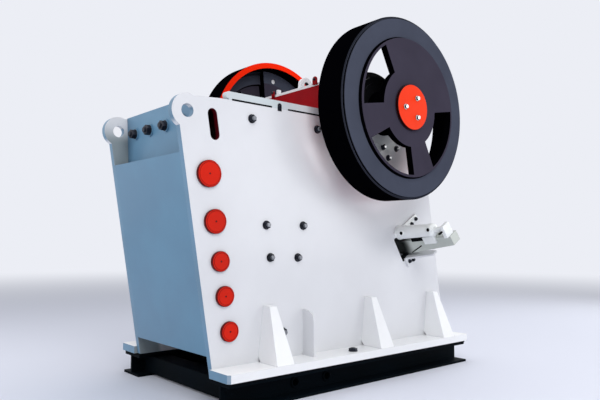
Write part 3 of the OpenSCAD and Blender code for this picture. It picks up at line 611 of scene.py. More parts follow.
class Palette:
    """Every finish on the machine."""

    plate = FrontedPaint("plate_paint", (221, 222, 225), 0.34, coat=0.15, mottle=0.012, dust=0.03)
    # Same white as the plate, painted lighter for the light that falls on the flange
    foot = FrontedPaint("foot_paint_lightened", (242, 243, 244), 0.34, coat=0.15, mottle=0.010, dust=0.02)
    white = Finish("white_paint", (221, 222, 225), 0.34, coat=0.15, mottle=0.012, dust=0.03)
    rail = Finish("rail_paint", (200, 208, 211), 0.36, coat=0.1, mottle=0.015)
    # White wall paint given blue-grey as painted shade
    wall = WallPaint("blue_grey_paint", (93, 134, 162), 0.32, coat=0.05, mottle=0.03, dust=0.03)
    casting = CastSkin(
        "light_grey_casting", (228, 230, 230), 0.42, coat=0.1, mottle=0.03, grain=0.0009
    )
    cylinder = Finish("cylinder_paint", (240, 243, 242), 0.36, coat=0.1, mottle=0.02)
    wedge = PlateShadeSteel("wedge_steel_with_plate_shade", (194, 199, 193), 0.38, 0.15, mottle=0.03)
    # No plain reflection: the sheen of the outer faces is painted into their colour
    wheel = WheelPaint("black_paint", (3, 3, 5), 0.40, mottle=0.12, edge_tone=5.0, specular=0.0)
    orange = Finish("orange_paint", (240, 54, 10), 0.40, mottle=0.02, specular=0.10)
    # Pin covers, hub cover and hub bolts get a painted shade on their rims
    red = RimmedPaint("red_paint", (206, 32, 12), 0.44, mottle=0.04, specular=0.10)
    hub = RimmedPaint(
        "hub_paint", (240, 54, 10), 0.40, mottle=0.02, specular=0.10, rim_shading_colour=(40, 5, 3)
    )
    capped = RimmedPaint(
        "capped_steel", (240, 240, 238), 0.3, 0.5, mottle=0.02, rim_shading_colour=(18, 17, 20)
    )
    crimson = CastSkin(
        "crimson_casting", (138, 3, 14), 0.50, mottle=0.08, grain=0.0010, specular=0.05
    )
    black_casting = CastSkin(
        "dark_casting", (18, 19, 22), 0.45, mottle=0.15, grain=0.0010, specular=0.15
    )
    # Near-black: partly the skid's dark paint, partly painted shade under the machine
    skid = Finish("slate_paint", (6, 12, 17), 0.50, mottle=0.12, edge_tone=0.4, specular=0.02)
    rubber = Finish(
        "black_rubber", (10, 12, 15), 0.8, mottle=0.12, grain=0.0006, edge_tone=0.4, specular=0.05
    )
    bolt = TurnedSteel("dark_steel", (120, 123, 128), 0.34, 0.9, mottle=0.10, edge_tone=0.5)
    black_bolt = TurnedSteel("blackened_steel", (20, 24, 34), 0.36, 0.5, mottle=0.15, edge_tone=0.9)
    bright = TurnedSteel("bright_steel", (214, 214, 212), 0.22, 1.0, mottle=0.04, edge_tone=0.1)
    machined = TurnedSteel("machined_steel", (168, 170, 172), 0.30, 1.0, mottle=0.05)


NODE_FINISHES: dict[Finish, list[str]] = {
    Palette.plate: both("side_plate"),
    Palette.foot: both("foot_flange"),
    Palette.wall: ["front_wall"],
    Palette.white: ["rear_casting", "rear_tie_beam", "pitman"],
    Palette.rubber: both("rubber_pad"),
    Palette.skid: [*both("skid_beam"), "skid_cross_beams", "skid_lifting_tubes"],
    Palette.red: both("pin_covers"),
    Palette.crimson: [
        "fixed_jaw_die", "clamp_bar", "moving_jaw_die", "jaw_wedge", "pitman_guard",
        *both("cheek_plate_upper", "cheek_plate_lower"),
    ],
    Palette.black_bolt: ["clamp_studs"],
    Palette.rail: both("top_rail"),
    Palette.casting: [*both("bearing_base"), "toggle_seat"],
    Palette.black_casting: [*both("bearing_cap"), "toggle_plate"],
    Palette.bright: [*both("main_bearing"), "pitman_bearings"],
    Palette.wedge: both("adjusting_wedge"),
    Palette.cylinder: both("wedge_cylinder"),
    Palette.machined: ["eccentric_shaft", "tension_rods"],
    Palette.wheel: both("flywheel"),
    Palette.orange: both("hub_cover"),
}


def stand(at: Sequence[float], outward: Sequence[float], turn: float = 0.0) -> Matrix:
    """Frame whose Z axis points outward from a place.

    Args:
        at: Where the frame's origin lies.
        outward: Direction of its Z axis.
        turn: Angle around that axis, in radians.

    Returns:
        The frame as a matrix.
    """
    facing = Vector(outward).normalized().to_track_quat("Z", "Y").to_matrix().to_4x4()
    return Matrix.Translation(Vector(at)) @ facing @ Matrix.Rotation(turn, 4, "Z")


def around_shaft(x: float, radius: float, angle: float) -> Point:
    """Place at a distance from the shaft's axis, at an angle from level to the rear."""
    return x, SHAFT_Y + radius * math.cos(angle), SHAFT_Z + radius * math.sin(angle)


def arched(
    half: float, foot: float, shoulder: float, centre: Flat, angles: Sequence[float]
) -> list[Flat]:
    """Outline of an upright plate with a round top.

    Args:
        half: Half its width.
        foot: Height of its foot.
        shoulder: Height at which the straight sides end.
        centre: Height of the round's middle, and how far it rises above that.
        angles: Angles of the points on the round.

    Returns:
        The points of the outline.
    """
    middle, crown = centre
    top = [(half * math.cos(angle), middle + crown * math.sin(angle)) for angle in angles]
    return [(half, foot), (half, shoulder), *top, (-half, shoulder), (-half, foot)]


def ridges(radius: float, root: float, start: float, pitch: float, count: int) -> list[Flat]:
    """Outline of a thread.

    Args:
        radius: Radius over the ridges.
        root: Radius between them.
        start: Height of the first ridge.
        pitch: Height from one ridge to the next.
        count: Number of turns.

    Returns:
        Radius and height of each point.
    """
    outline = [(radius, start)]
    for ring in range(count):
        outline.append((root, start + (ring + 0.5) * pitch))
        outline.append((radius, start + (ring + 1) * pitch))
    return outline


def show(name: str, data: bpy.types.ID) -> bpy.types.Object:
    """Makes an object and puts it in the scene.

    Args:
        name: Name of the object.
        data: Its mesh, light or camera.

    Returns:
        The object.
    """
    thing = bpy.data.objects.new(name, data)
    bpy.context.scene.collection.objects.link(thing)
    return thing


class Shape:
    """Mesh of one piece, gathered from parts that stand in the machine's frame."""

    def __init__(self) -> None:
        """Starts with no parts."""
        self.mesh = bmesh.new()

    def join(self, part: bmesh.types.BMesh, place: Matrix) -> "Shape":
        """Moves a part into place and takes it in.

        Args:
            part: The part in its own frame, used up here.
            place: Where that frame stands.

        Returns:
            This shape, for the next part.
        """
        bmesh.ops.transform(part, matrix=place, verts=part.verts)
        holder = bpy.data.meshes.new("part")
        part.to_mesh(holder)
        part.free()
        self.mesh.from_mesh(holder)
        bpy.data.meshes.remove(holder)
        return self

    def piece(
        self, name: str, finish: Finish, body: str, slot: str, sharp: float = 32.0
    ) -> bpy.types.Object:
        """Makes the object, gives it its finish and fixes it to a body.

        Args:
            name: Name of the piece.
            finish: Its finish.
            body: CAD body that it rides on.
            slot: Material slot of the record; not used.
            sharp: Angle in degrees above which an edge stays sharp.

        Returns:
            The finished object.
        """
        mesh = bpy.data.meshes.new(name)
        self.mesh.normal_update()
        self.mesh.to_mesh(mesh)
        self.mesh.free()
        mesh.shade_smooth()
        mesh.set_sharp_from_angle(angle=math.radians(sharp))
        mesh.materials.append(finish.material())
        thing = show(name, mesh)
        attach(thing, body)
        LOG.info("%s: %d faces on %s", name, len(mesh.polygons), body)
        return thing

    def side_piece(
        self, side: Side, name: str, finish: Finish, body: str, slot: str, sharp: float = 32.0
    ) -> bpy.types.Object:
        """Makes the piece of one side, from a shape that was built on the right.

        Args:
            side: The side, to which the shape is mirrored where it is the left one.
            name: Name of the piece without its side.
            finish: Its finish.
            body: CAD body that it rides on.
            slot: Material slot of the record.
            sharp: Angle in degrees above which an edge stays sharp.

        Returns:
            The finished object.
        """
        if side is Side.LEFT:
            bmesh.ops.scale(self.mesh, vec=(-1, 1, 1), verts=self.mesh.verts)
            bmesh.ops.reverse_faces(self.mesh, faces=self.mesh.faces)
        return self.piece(f"{name}_{side.label}", finish, body, slot, sharp)


class Stock:
    """Raw parts, each standing on Z = 0 of its own frame."""

    @staticmethod
    def soften(
        part: bmesh.types.BMesh, edges: Iterable[bmesh.types.BMEdge], width: float
    ) -> None:
        """Rounds edges of a part.

        Args:
            part: The part to work on.
            edges: The edges to round.
            width: Width of the rounding.
        """
        bmesh.ops.bevel(
            part, geom=list(edges), offset=width, offset_type="OFFSET", segments=2,
            profile=0.5, affect="EDGES", material=-1, clamp_overlap=True,
        )

    @staticmethod
    def drum(radius: float, depth: float, sides: int, edge: float) -> bmesh.types.BMesh:
        """Round or many-sided bar with a rounded upper rim.

        Args:
            radius: Radius over the corners.
            depth: Height of the bar.
            sides: Number of sides.
            edge: Width of the rounding at the top.

        Returns:
            The part.
        """
        part = bmesh.new()
        bmesh.ops.create_cone(
            part, cap_ends=True, cap_tris=False, segments=sides,
            radius1=radius, radius2=radius, depth=depth,
        )
        bmesh.ops.translate(part, vec=(0, 0, depth / 2), verts=part.verts)
        top = depth - MERGE_DISTANCE
        rim = [line for line in part.edges if all(end.co.z > top for end in line.verts)]
        Stock.soften(part, rim, edge)
        return part

    @staticmethod
    def turned(
        profile: Sequence[Flat], steps: int, closed: bool = False
    ) -> bmesh.types.BMesh:
        """Solid of revolution around Z.

        Args:
            profile: Radius and height of each point of the outline.
            steps: Number of steps around.
            closed: Joins the last point to the first, for a ring.

        Returns:
            The part.
        """
        part = bmesh.new()
        points = [part.verts.new((radius, 0.0, height)) for radius, height in profile]
        edges = [part.edges.new(pair) for pair in zip(points, points[1:])]
        if closed:
            edges.append(part.edges.new((points[-1], points[0])))
        bmesh.ops.spin(
            part, geom=points + edges, cent=(0, 0, 0), axis=(0, 0, 1), angle=math.tau,
            steps=steps, use_merge=True, use_duplicate=False,
        )
        bmesh.ops.remove_doubles(part, verts=part.verts, dist=MERGE_DISTANCE)
        bmesh.ops.recalc_face_normals(part, faces=part.faces)
        return part

    @staticmethod
    def slab(outline: Sequence[Flat], depth: float, edge: float) -> bmesh.types.BMesh:
        """Plate with rounded edges.

        Args:
            outline: Its points in X and Y.
            depth: Its thickness along Z.
            edge: Width of the rounding.

        Returns:
            The part.
        """
        part = bmesh.new()
        face = part.faces.new([part.verts.new((x, y, 0.0)) for x, y in outline])
        grown = bmesh.ops.extrude_face_region(part, geom=[face])
        raised = [item for item in grown["geom"] if isinstance(item, bmesh.types.BMVert)]
        bmesh.ops.translate(part, vec=(0, 0, depth), verts=raised)
        bmesh.ops.recalc_face_normals(part, faces=part.faces)
        Stock.soften(part, part.edges, edge)
        return part

    @staticmethod
    def tube(
        points: Sequence[Point], radius: float, steps: int,
        widths: Optional[Sequence[float]] = None,
    ) -> bmesh.types.BMesh:
        """Round bar along a smooth run of points.

        Args:
            points: Places along the bar.
            radius: Its radius.
            steps: Half the number of sides, less one.
            widths: Share of the radius at each point.

        Returns:
            The part.
        """
        curve = bpy.data.curves.new("run", "CURVE")
        curve.dimensions = "3D"
        curve.bevel_depth = radius
        curve.bevel_resolution = steps
        curve.use_fill_caps = True
        spline = curve.splines.new("POLY")
        spline.points.add(len(points) - 1)
        for number, point in enumerate(points):
            spline.points[number].co = (*point, 1.0)
            spline.points[number].radius = widths[number] if widths else 1.0
        holder = bpy.data.objects.new("run", curve)
        mesh = bpy.data.meshes.new_from_object(holder)
        part = bmesh.new()
        part.from_mesh(mesh)
        bmesh.ops.remove_doubles(part, verts=part.verts, dist=MERGE_DISTANCE)
        bmesh.ops.recalc_face_normals(part, faces=part.faces)
        bpy.data.objects.remove(holder)
        bpy.data.curves.remove(curve)
        bpy.data.meshes.remove(mesh)
        return part


@dataclass(frozen=True)
class Block:
    """A block with rounded edges.

    Attributes:
        size: Its lengths along X, Y and Z.
        foot: Middle of its underside.
        edge: Width of the rounding.
    """

    size: Point
    foot: Point
    edge: float

    def fit(self, shape: Shape, place: Matrix) -> Shape:
        """Adds the block to a shape.

        Args:
            shape: The shape that takes it in.
            place: Frame in which the block stands.

        Returns:
            The same shape.
        """
        part = bmesh.new()
        bmesh.ops.create_cube(part, size=1.0)
        bmesh.ops.scale(part, vec=self.size, verts=part.verts)
        bmesh.ops.translate(part, vec=(0, 0, self.size[2] / 2), verts=part.verts)
        Stock.soften(part, part.edges, self.edge)
        return shape.join(part, place @ Matrix.Translation(self.foot))


@dataclass(frozen=True)
class Fastener:
    """A stud with its washer and hexagon nut.

    Attributes:
        across: Width of the nut over its flats.
        height: Height of the nut.
        stud: Radius of the stud.
        proud: How far the stud stands out of the nut.
        washer: Radius of the washer.
        washer_t: Thickness of the washer.
        washer_edge: Rounding of the washer, as a share of its thickness.
        nut_edge: Rounding of the nut, as a share of its height.
        pitch: Pitch of the thread, as a share of the stud's radius.
        root: Radius between two ridges, likewise.
        tip: Radius and height of the stud's tip, likewise.
        sunk: How far the stud's end reaches into the nut.
    """

    across: float
    height: float
    stud: float
    proud: float
    washer: float
    washer_t: float = 0.006
    washer_edge: float = 0.3
    nut_edge: float = 0.12
    pitch: float = 0.22
    root: float = 0.90
    tip: Flat = (0.86, 0.14)
    sunk: float = 0.002

    def fit(self, shape: Shape, place: Matrix, ends: Optional[Shape] = None) -> None:
        """Adds the fastener to a shape.

        Args:
            shape: The shape that takes it in.
            place: Frame with its Z axis out of the surface.
            ends: The shape for the stud's end, where it has a finish of its own.
        """
        washer_edge, nut_edge = self.washer_t * self.washer_edge, self.height * self.nut_edge
        shape.join(Stock.drum(self.washer, self.washer_t, sides=32, edge=washer_edge), place)
        nut = Stock.drum(self.across / math.sqrt(3), self.height, sides=6, edge=nut_edge)
        shape.join(nut, place @ Matrix.Translation((0, 0, self.washer_t)))
        if self.proud > 0:
            top = Matrix.Translation((0, 0, self.washer_t + self.height))
            (shape if ends is None else ends).join(self.thread(), place @ top)

    def fit_all(
        self, shape: Shape, x: float, places: Sequence[Flat], turn: float,
        ends: Optional[Shape] = None,
    ) -> None:
        """Adds a row of fasteners that point outward.

        Args:
            shape: The shape that takes them in.
            x: Where the surface lies.
            places: Y and Z of each one.
            turn: Angle by which each nut is turned on from the one before.
            ends: The shape for the studs' ends, where they have a finish of their own.
        """
        for number, (y, z) in enumerate(places):
            self.fit(shape, stand((x, y, z), OUTWARD, turn * number), ends)

    def thread(self) -> bmesh.types.BMesh:
        """The stud's end, with the ridges of its thread.

        Returns:
            The part.
        """
        radius, pitch = self.stud, self.stud * self.pitch
        count = max(2, int(self.proud / pitch))
        tip_radius, tip_height = radius * self.tip[0], count * pitch + radius * self.tip[1]
        profile = [(0.0, -self.sunk), (radius, -self.sunk)]
        profile += ridges(radius, radius * self.root, 0.0, pitch, count)
        profile += [(tip_radius, tip_height), (0.0, tip_height)]
        return Stock.turned(profile, steps=24)


@dataclass
class SidePlateBolts:
    """Nuts outside a side plate, on the studs that hold the cheek plates inside it."""

    side: Side
    places: Sequence[Flat] = (
        (-1.070, 2.544), (-0.254, 2.542), (-0.894, 1.563), (-0.440, 1.564),
        (-0.844, 1.260), (-0.506, 1.253), (-0.688, 0.555),
    )
    turn: float = 0.4
    fastener: Fastener = Fastener(0.064, 0.026, 0.020, 0.018, 0.042)

    def build(self) -> None:
        """Fits one black nut with a steel stud end at each place."""
        nuts, ends = Shape(), Shape()
        self.fastener.fit_all(nuts, HALF_WIDTH, self.places, self.turn, ends)
        nuts.side_piece(self.side, "cheek_plate_bolts", Palette.black_bolt, "frame", "black_paint")
        ends.side_piece(self.side, "cheek_plate_stud_ends", Palette.bolt, "frame", "dark_steel")


@dataclass
class PinCovers:
    """Round covers over the pins that join the front casting to a side plate."""

    side: Side
    heights: Sequence[float] = (0.379, 0.690, 0.996, 1.345, 1.760)
    radii: Sequence[float] = (0.090, 0.091, 0.091, 0.109, 0.120)
    thickness: float = 0.030
    base: float = 0.240
    front: float = 1.460
    inset: float = 0.221
    chamfer: float = 0.005
    groove: Flat = (0.020, 0.012)  # distances of its borders from the rim
    groove_t: float = 0.0025
    groove_slope: float = 0.002
    hole: Flat = (0.007, 0.006)  # radius, depth
    hole_slope: float = 0.001
    screw: Flat = (0.0065, 0.004)  # radius, height
    screw_sunk: float = 0.0062

    def profile(self, radius: float) -> list[Flat]:
        """Outline of a cover, from the bottom of its screw hole to its back.

        Args:
            radius: Radius of the cover.

        Returns:
            Radius and height of each point.
        """
        t, slope = self.thickness, self.groove_slope
        hole, bottom = self.hole[0], t - self.hole[1]
        inner, outer = radius - self.groove[0], radius - self.groove[1]
        return [
            (0.0, bottom), (hole, bottom), (hole + self.hole_slope, t), (inner, t),
            (inner + slope, t - self.groove_t), (outer - slope, t - self.groove_t), (outer, t),
            (radius - self.chamfer, t), (radius, t - self.chamfer), (radius, 0.0), (0.0, 0.0),
        ]

    def build(self) -> None:
        """Builds a turned cover with a shallow groove and a screw for each pin."""
        covers, screws = Shape(), Shape()
        sunk = Matrix.Translation((0, 0, self.thickness - self.screw_sunk))
        for height, radius in zip(self.heights, self.radii):
            y = -self.front - FRONT_LEAN * height + self.inset
            place = stand((HALF_WIDTH, y, self.base + height), OUTWARD)
            covers.join(Stock.turned(self.profile(radius), steps=72), place)
            screws.join(Stock.drum(*self.screw, sides=16, edge=0.001), place @ sunk)
        cover = covers.side_piece(self.side, "pin_cover_plates", Palette.red, "frame", "red_paint")
        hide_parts(f"pin_covers_{self.side.label}")
        screws.side_piece(self.side, "pin_cover_screws", Palette.black_bolt, "frame", "black_paint")


@dataclass
class HubCover:
    """Orange cover on the end of the shaft, with its three bright bolts."""

    side: Side
    radius: float = 0.234
    thickness: float = 0.031
    chamfer: float = 0.004
    face: float = 1.301
    bolt_radius: float = 0.120
    bolt_angles: Sequence[float] = (57.0, 185.0, 304.0)
    fastener: Fastener = Fastener(0.040, 0.020, 0.014, 0.0, 0.027, 0.005)

    def build(self) -> None:
        """Turns the cover and bolts it to the shaft."""
        t, r, c = self.thickness, self.radius, self.chamfer
        profile = [(0.0, t), (r - c, t), (r, t - c), (r, 0.0), (0.0, 0.0)]
        disc = Shape().join(
            Stock.turned(profile, steps=96), stand((self.face, SHAFT_Y, SHAFT_Z), OUTWARD)
        )
        cover = disc.side_piece(self.side, "hub_cover_disc", Palette.hub, "rotor", "orange_paint")
        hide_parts(f"hub_cover_{self.side.label}")
        bolts = Shape()
        for angle in map(math.radians, self.bolt_angles):
            at = around_shaft(self.face + t, self.bolt_radius, angle)
            self.fastener.fit(bolts, stand(at, OUTWARD, angle))
        bolts.side_piece(self.side, "hub_cover_bolts", Palette.capped, "rotor", "bright_steel")


@dataclass
class HoleLightDisc:
    """Pale disc in the turning hole of the left wheel's counterweight, as painted light through it.
    """

    radius: float = 0.0305
    orbit: float = 0.765
    angle: float = math.radians(83.4)
    face: float = -1.115
    depth: float = 0.090

    def build(self) -> None:
        """Sets the pale disc a little back from the counterweight's inner face."""
        at = around_shaft(self.face - self.depth, self.orbit, self.angle)
        # A pale disc that stands in for the light seen through the hole
        plug = Stock.drum(self.radius, self.depth, sides=48, edge=0.001)
        Shape().join(plug, stand(at, OUTWARD)).piece(
            "turning_hole_light_disc_left", Palette.white, "rotor", "white_paint"
        )


@dataclass
class ClampStuds:
    """Studs of the die's clamp bar where they come out of the front wall."""

    across: Sequence[float] = (-0.471, -0.157, 0.157, 0.471)
    centre: Flat = (-1.6591, 2.4874)
    outward: Point = (0.0, -0.99876, -0.04984)
    turns: Sequence[float] = (0.3, 0.8, 1.3, 1.8)
    fastener: Fastener = Fastener(0.086, 0.040, 0.028, 0.018, 0.050, 0.007)

    def build(self) -> None:
        """Replaces the plain studs with threaded ones on washers."""
        shape = Shape()
        for x, turn in zip(self.across, self.turns):
            self.fastener.fit(shape, stand((x, *self.centre), self.outward, turn))
        studs = shape.piece("clamp_stud_nuts", Palette.black_bolt, "frame", "black_paint")
        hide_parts("clamp_studs")


@dataclass
class PlateFittings:
    """Small parts of a side plate: anchor nut, rail stud, gusset and black strips as painted shadow
    under the rail.
    """

    side: Side
    anchor: Flat = (0.910, 0.070)  # X, Y
    anchor_nut: Fastener = Fastener(0.074, 0.022, 0.020, 0.0, 0.046, 0.007)
    anchor_turn: float = 0.35
    anchor_end: Flat = (0.021, 0.006)  # radius, height
    rail_stud: Flat = (-0.742, 2.700)  # Y, Z
    # Black arch that paints the shadow around the stud's head
    stud_shadow_arch: tuple[float, float, float, Flat] = (0.024, -0.038, 0.012, (0.014, 0.024))
    stud_angles: Sequence[float] = (0.35, 0.8, 1.2, 1.57, 1.94, 2.34, 2.79)
    stud_t: float = 0.007
    stud_sunk: float = 0.002
    stud_head: Flat = (0.014, 0.008)  # radius, height
    stud_head_at: Point = (0.0, 0.004, 0.006)
    # Black strips that paint the shadow in the slit under the rail
    packing: Sequence[Flat] = ((-1.291, -0.835), (-0.637, -0.140))  # start and end along Y
    strip: Flat = (0.060, 0.016)  # width, height
    strip_at: Flat = (0.6972, 2.682)  # X, Z
    gusset_y: float = -0.430
    gusset_t: float = 0.026
    gusset: Sequence[Flat] = (
        (0.018, 0.0), (0.165, 0.0), (0.165, 0.335), (0.158, 0.372), (0.140, 0.402),
        (0.085, 0.428), (0.0, 0.440), (0.0, 0.018),
    )

    def build(self) -> None:
        """Builds the fittings of one side."""
        self.set_anchor()
        self.fit_rail_stud()
        self.weld_gusset()
        self.shade_rail_slit()

    def set_anchor(self) -> None:
        """Screws the nut on the anchor in the flange."""
        nut = Shape()
        place = stand((*self.anchor, FLANGE_TOP), UPWARD, self.anchor_turn)
        self.anchor_nut.fit(nut, place)
        top = Matrix.Translation((0, 0, self.anchor_nut.washer_t + self.anchor_nut.height))
        nut.join(Stock.drum(*self.anchor_end, sides=24, edge=0.002), place @ top)
        nut.side_piece(self.side, "foot_anchor_nuts", Palette.black_bolt, "frame", "black_paint")

    def fit_rail_stud(self) -> None:
        """Sets the stud's head on a black arch between the rail and the plate, the arch being
        painted shadow.
        """
        outline = arched(*self.stud_shadow_arch, self.stud_angles)
        place = Matrix.Translation((HALF_WIDTH - self.stud_sunk, *self.rail_stud))
        place = place @ DRAWN_FROM_SIDE
        stud = Shape().join(Stock.slab(outline, self.stud_t, edge=0.0015), place)
        head = Stock.drum(*self.stud_head, sides=24, edge=0.002)
        stud.join(head, place @ Matrix.Translation(self.stud_head_at))
        stud.side_piece(self.side, "rail_stud", Palette.black_bolt, "frame", "black_paint")

    def weld_gusset(self) -> None:
        """Stands a thin gusset between the flange and the plate."""
        rear = self.gusset_y + self.gusset_t / 2
        place = Matrix.Translation((HALF_WIDTH, rear, FLANGE_TOP)) @ DRAWN_FROM_FRONT
        gusset = Shape().join(Stock.slab(self.gusset, self.gusset_t, edge=0.002), place)
        gusset.side_piece(self.side, "flange_gusset", Palette.white, "frame", "white_paint")

    def shade_rail_slit(self) -> None:
        """Lays black strips between the rail's pads, as painted shadow in the slit under the rail.
        """
        strips = Shape()
        (width, height), (x, z) = self.strip, self.strip_at
        for start, end in self.packing:
            strip = Block((width, end - start, height), (x, (start + end) / 2, z), 0.001)
            strip.fit(strips, MACHINE)
        strips.side_piece(self.side, "rail_packing", Palette.rubber, "frame", "black_rubber")


@dataclass
class WeldSeams:
    """Weld beads around the ribs and the gusset and along the foot of a side plate."""

    side: Side
    ribs: Sequence[float] = (-0.880, 0.480, 1.540)
    foot_half: float = 0.100
    head_half: float = 0.040
    rib_height: float = 0.503
    reach: float = 0.288
    snipe: float = 0.045
    gusset_faces: Flat = (-0.443, -0.417)
    gusset: Point = (0.018, 0.165, 0.440)  # snipe, reach, height
    foot: Flat = (-1.465, 1.835)  # start and end along Y
    bead: float = 0.0065
    ripple: float = 0.009
    waist: float = 0.86  # width between two ripples, as a share

    def runs(self) -> list[tuple[Point, Point]]:
        """Ends of every bead on the right side.

        Returns:
            The two ends of each bead.
        """
        x, z = HALF_WIDTH, FLANGE_TOP
        top = z + self.rib_height
        narrowed = (self.head_half - self.foot_half) * self.snipe / self.rib_height
        found: list[tuple[Point, Point]] = []
        for y in self.ribs:
            for turn in (-1, 1):
                low = y + turn * (self.foot_half + narrowed)
                foot, head = y + turn * self.foot_half, y + turn * self.head_half
                found.append(((x, low, z + self.snipe), (x, head, top)))
                found.append(((x + self.snipe, foot, z), (x + self.reach, foot, z)))
            found.append(((x, y - self.head_half, top), (x, y + self.head_half, top)))
        snipe, reach, height = self.gusset
        for y in self.gusset_faces:
            found.append(((x, y, z + snipe), (x, y, z + height)))
            found.append(((x + snipe, y, z), (x + reach, y, z)))
        start, end = self.foot
        found.append(((x, start, z), (x, end, z)))
        return found

    def build(self) -> None:
        """Lays each bead with the ripples of its runs."""
        beads = Shape()
        for start, end in self.runs():
            first, last = Vector(start), Vector(end)
            steps = max(4, int((last - first).length / self.ripple))
            points = [tuple(first.lerp(last, step / steps)) for step in range(steps + 1)]
            widths = [1.0 if step % 2 else self.waist for step in range(steps + 1)]
            beads.join(Stock.tube(points, self.bead, steps=2, widths=widths), MACHINE)
        beads.side_piece(self.side, "weld_beads", Palette.white, "frame", "white_paint", sharp=60.0)


@dataclass
class HousingBolts:
    """Nuts on the main bearing's housing that are in sight behind the wheel."""

    side: Side
    x: float = 0.885
    places: Sequence[Flat] = ((0.565, 2.428), (0.646, 2.316), (0.780, 2.428))
    turn: float = 0.5
    fastener: Fastener = Fastener(0.050, 0.022, 0.016, 0.014, 0.034, 0.005)

    def build(self) -> None:
        """Fits one black nut with a bright stud end at each place."""
        nuts, ends = Shape(), Shape()
        self.fastener.fit_all(nuts, self.x, self.places, self.turn, ends)
        nuts.side_piece(
            self.side, "bearing_housing_bolts", Palette.black_bolt, "frame", "black_paint"
        )
        ends.side_piece(self.side, "bearing_housing_studs", Palette.bright, "frame", "bright_steel")


@dataclass
class TensionRods:
    """Rods that hold the pitman against the toggle plate, with coiled springs.

    Heights run up along a rod, from its place beside the toggle's rear seat.
    """

    across: float = 0.260
    drop: float = -0.350
    start: float = -0.912
    end: float = 0.7153
    rod: float = 0.030
    threaded: float = 0.085  # start of the thread, above the upper disc
    pitch: float = 0.006
    root: float = 0.92  # radius between two ridges, as a share of the rod's
    tip: float = 0.86  # radius of the rod's end, likewise
    tip_t: float = 0.004
    disc: Flat = (0.082, 0.020)  # radius, thickness
    chamfer: float = 0.003
    nut: Flat = (0.058, 0.036)  # radius, height
    nut_step: float = 0.044
    nut_turn: float = 0.4
    spring: Flat = (0.3453, 0.6053)  # heights of its two ends
    coil: float = 0.0585
    wire: float = 0.0115
    turns: float = 6.5
    turn_points: int = 28

    def rod_profile(self) -> list[Flat]:
        """Outline of a rod with its thread.

        Returns:
            Radius and height of each point.
        """
        thread = self.spring[1] + self.disc[1] + self.threaded
        count = int((self.end - self.tip_t - thread) / self.pitch)
        return [
            (0.0, self.start), (self.rod, self.start),
            *ridges(self.rod, self.rod * self.root, thread, self.pitch, count),
            (self.rod * self.tip, self.end), (0.0, self.end),
        ]

    def disc_profile(self) -> list[Flat]:
        """Outline of a spring disc with both its rims chamfered."""
        (r, t), c = self.disc, self.chamfer
        return [(0.0, 0.0), (r - c, 0.0), (r, c), (r, t - c), (r - c, t), (0.0, t)]

    def spring_points(self) -> list[Point]:
        """Points along the spring's wire.

        Returns:
            The points, from the lower end up.
        """
        low, high = self.spring[0] + self.wire, self.spring[1] - self.wire
        steps = int(self.turns * self.turn_points)
        points = []
        for step in range(steps + 1):
            share = step / steps
            angle = math.tau * self.turns * share
            rise = low + (high - low) * share
            points.append((self.coil * math.cos(angle), self.coil * math.sin(angle), rise))
        return points

    def build(self) -> None:
        """Replaces the plain rods and spring blanks."""
        rods, coils = Shape(), Shape()
        low, high = self.spring
        thickness = self.disc[1]
        for sign in (-1, 1):
            foot = TOGGLE @ Vector((sign * self.across, 0.0, self.drop))
            line = stand(foot, (0.0, math.cos(TOGGLE_ANGLE), math.sin(TOGGLE_ANGLE)))
            rods.join(Stock.turned(self.rod_profile(), steps=32), line)
            for height in (low - thickness, high):
                disc = Stock.turned(self.disc_profile(), steps=48)
                rods.join(disc, line @ Matrix.Translation((0, 0, height)))
            for number in range(2):
                height = high + thickness + number * self.nut_step
                turned = Matrix.Rotation(self.nut_turn * number, 4, "Z")
                nut = Stock.drum(*self.nut, sides=6, edge=0.004)
                rods.join(nut, line @ Matrix.Translation((0, 0, height)) @ turned)
            coils.join(Stock.tube(self.spring_points(), self.wire, steps=3), line)
        bars = rods.piece("tension_rod_bars", Palette.machined, "pitman", "bright_steel")
        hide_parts("tension_rods")
        coils.piece("tension_rod_springs", Palette.orange, "pitman", "orange_paint", sharp=60.0)


@dataclass(frozen=True)
class Bracket:
    """A tab with a round top that stands on the guard.

    Attributes:
        x: Its middle.
        z: Height of its foot.
        half: Half its width.
        straight: Height of its straight sides.
        crown: Height of the round top above them.
        bolt: Height of its bolt above its foot.
    """

    x: float
    z: float
    half: float
    straight: float
    crown: float
    bolt: float


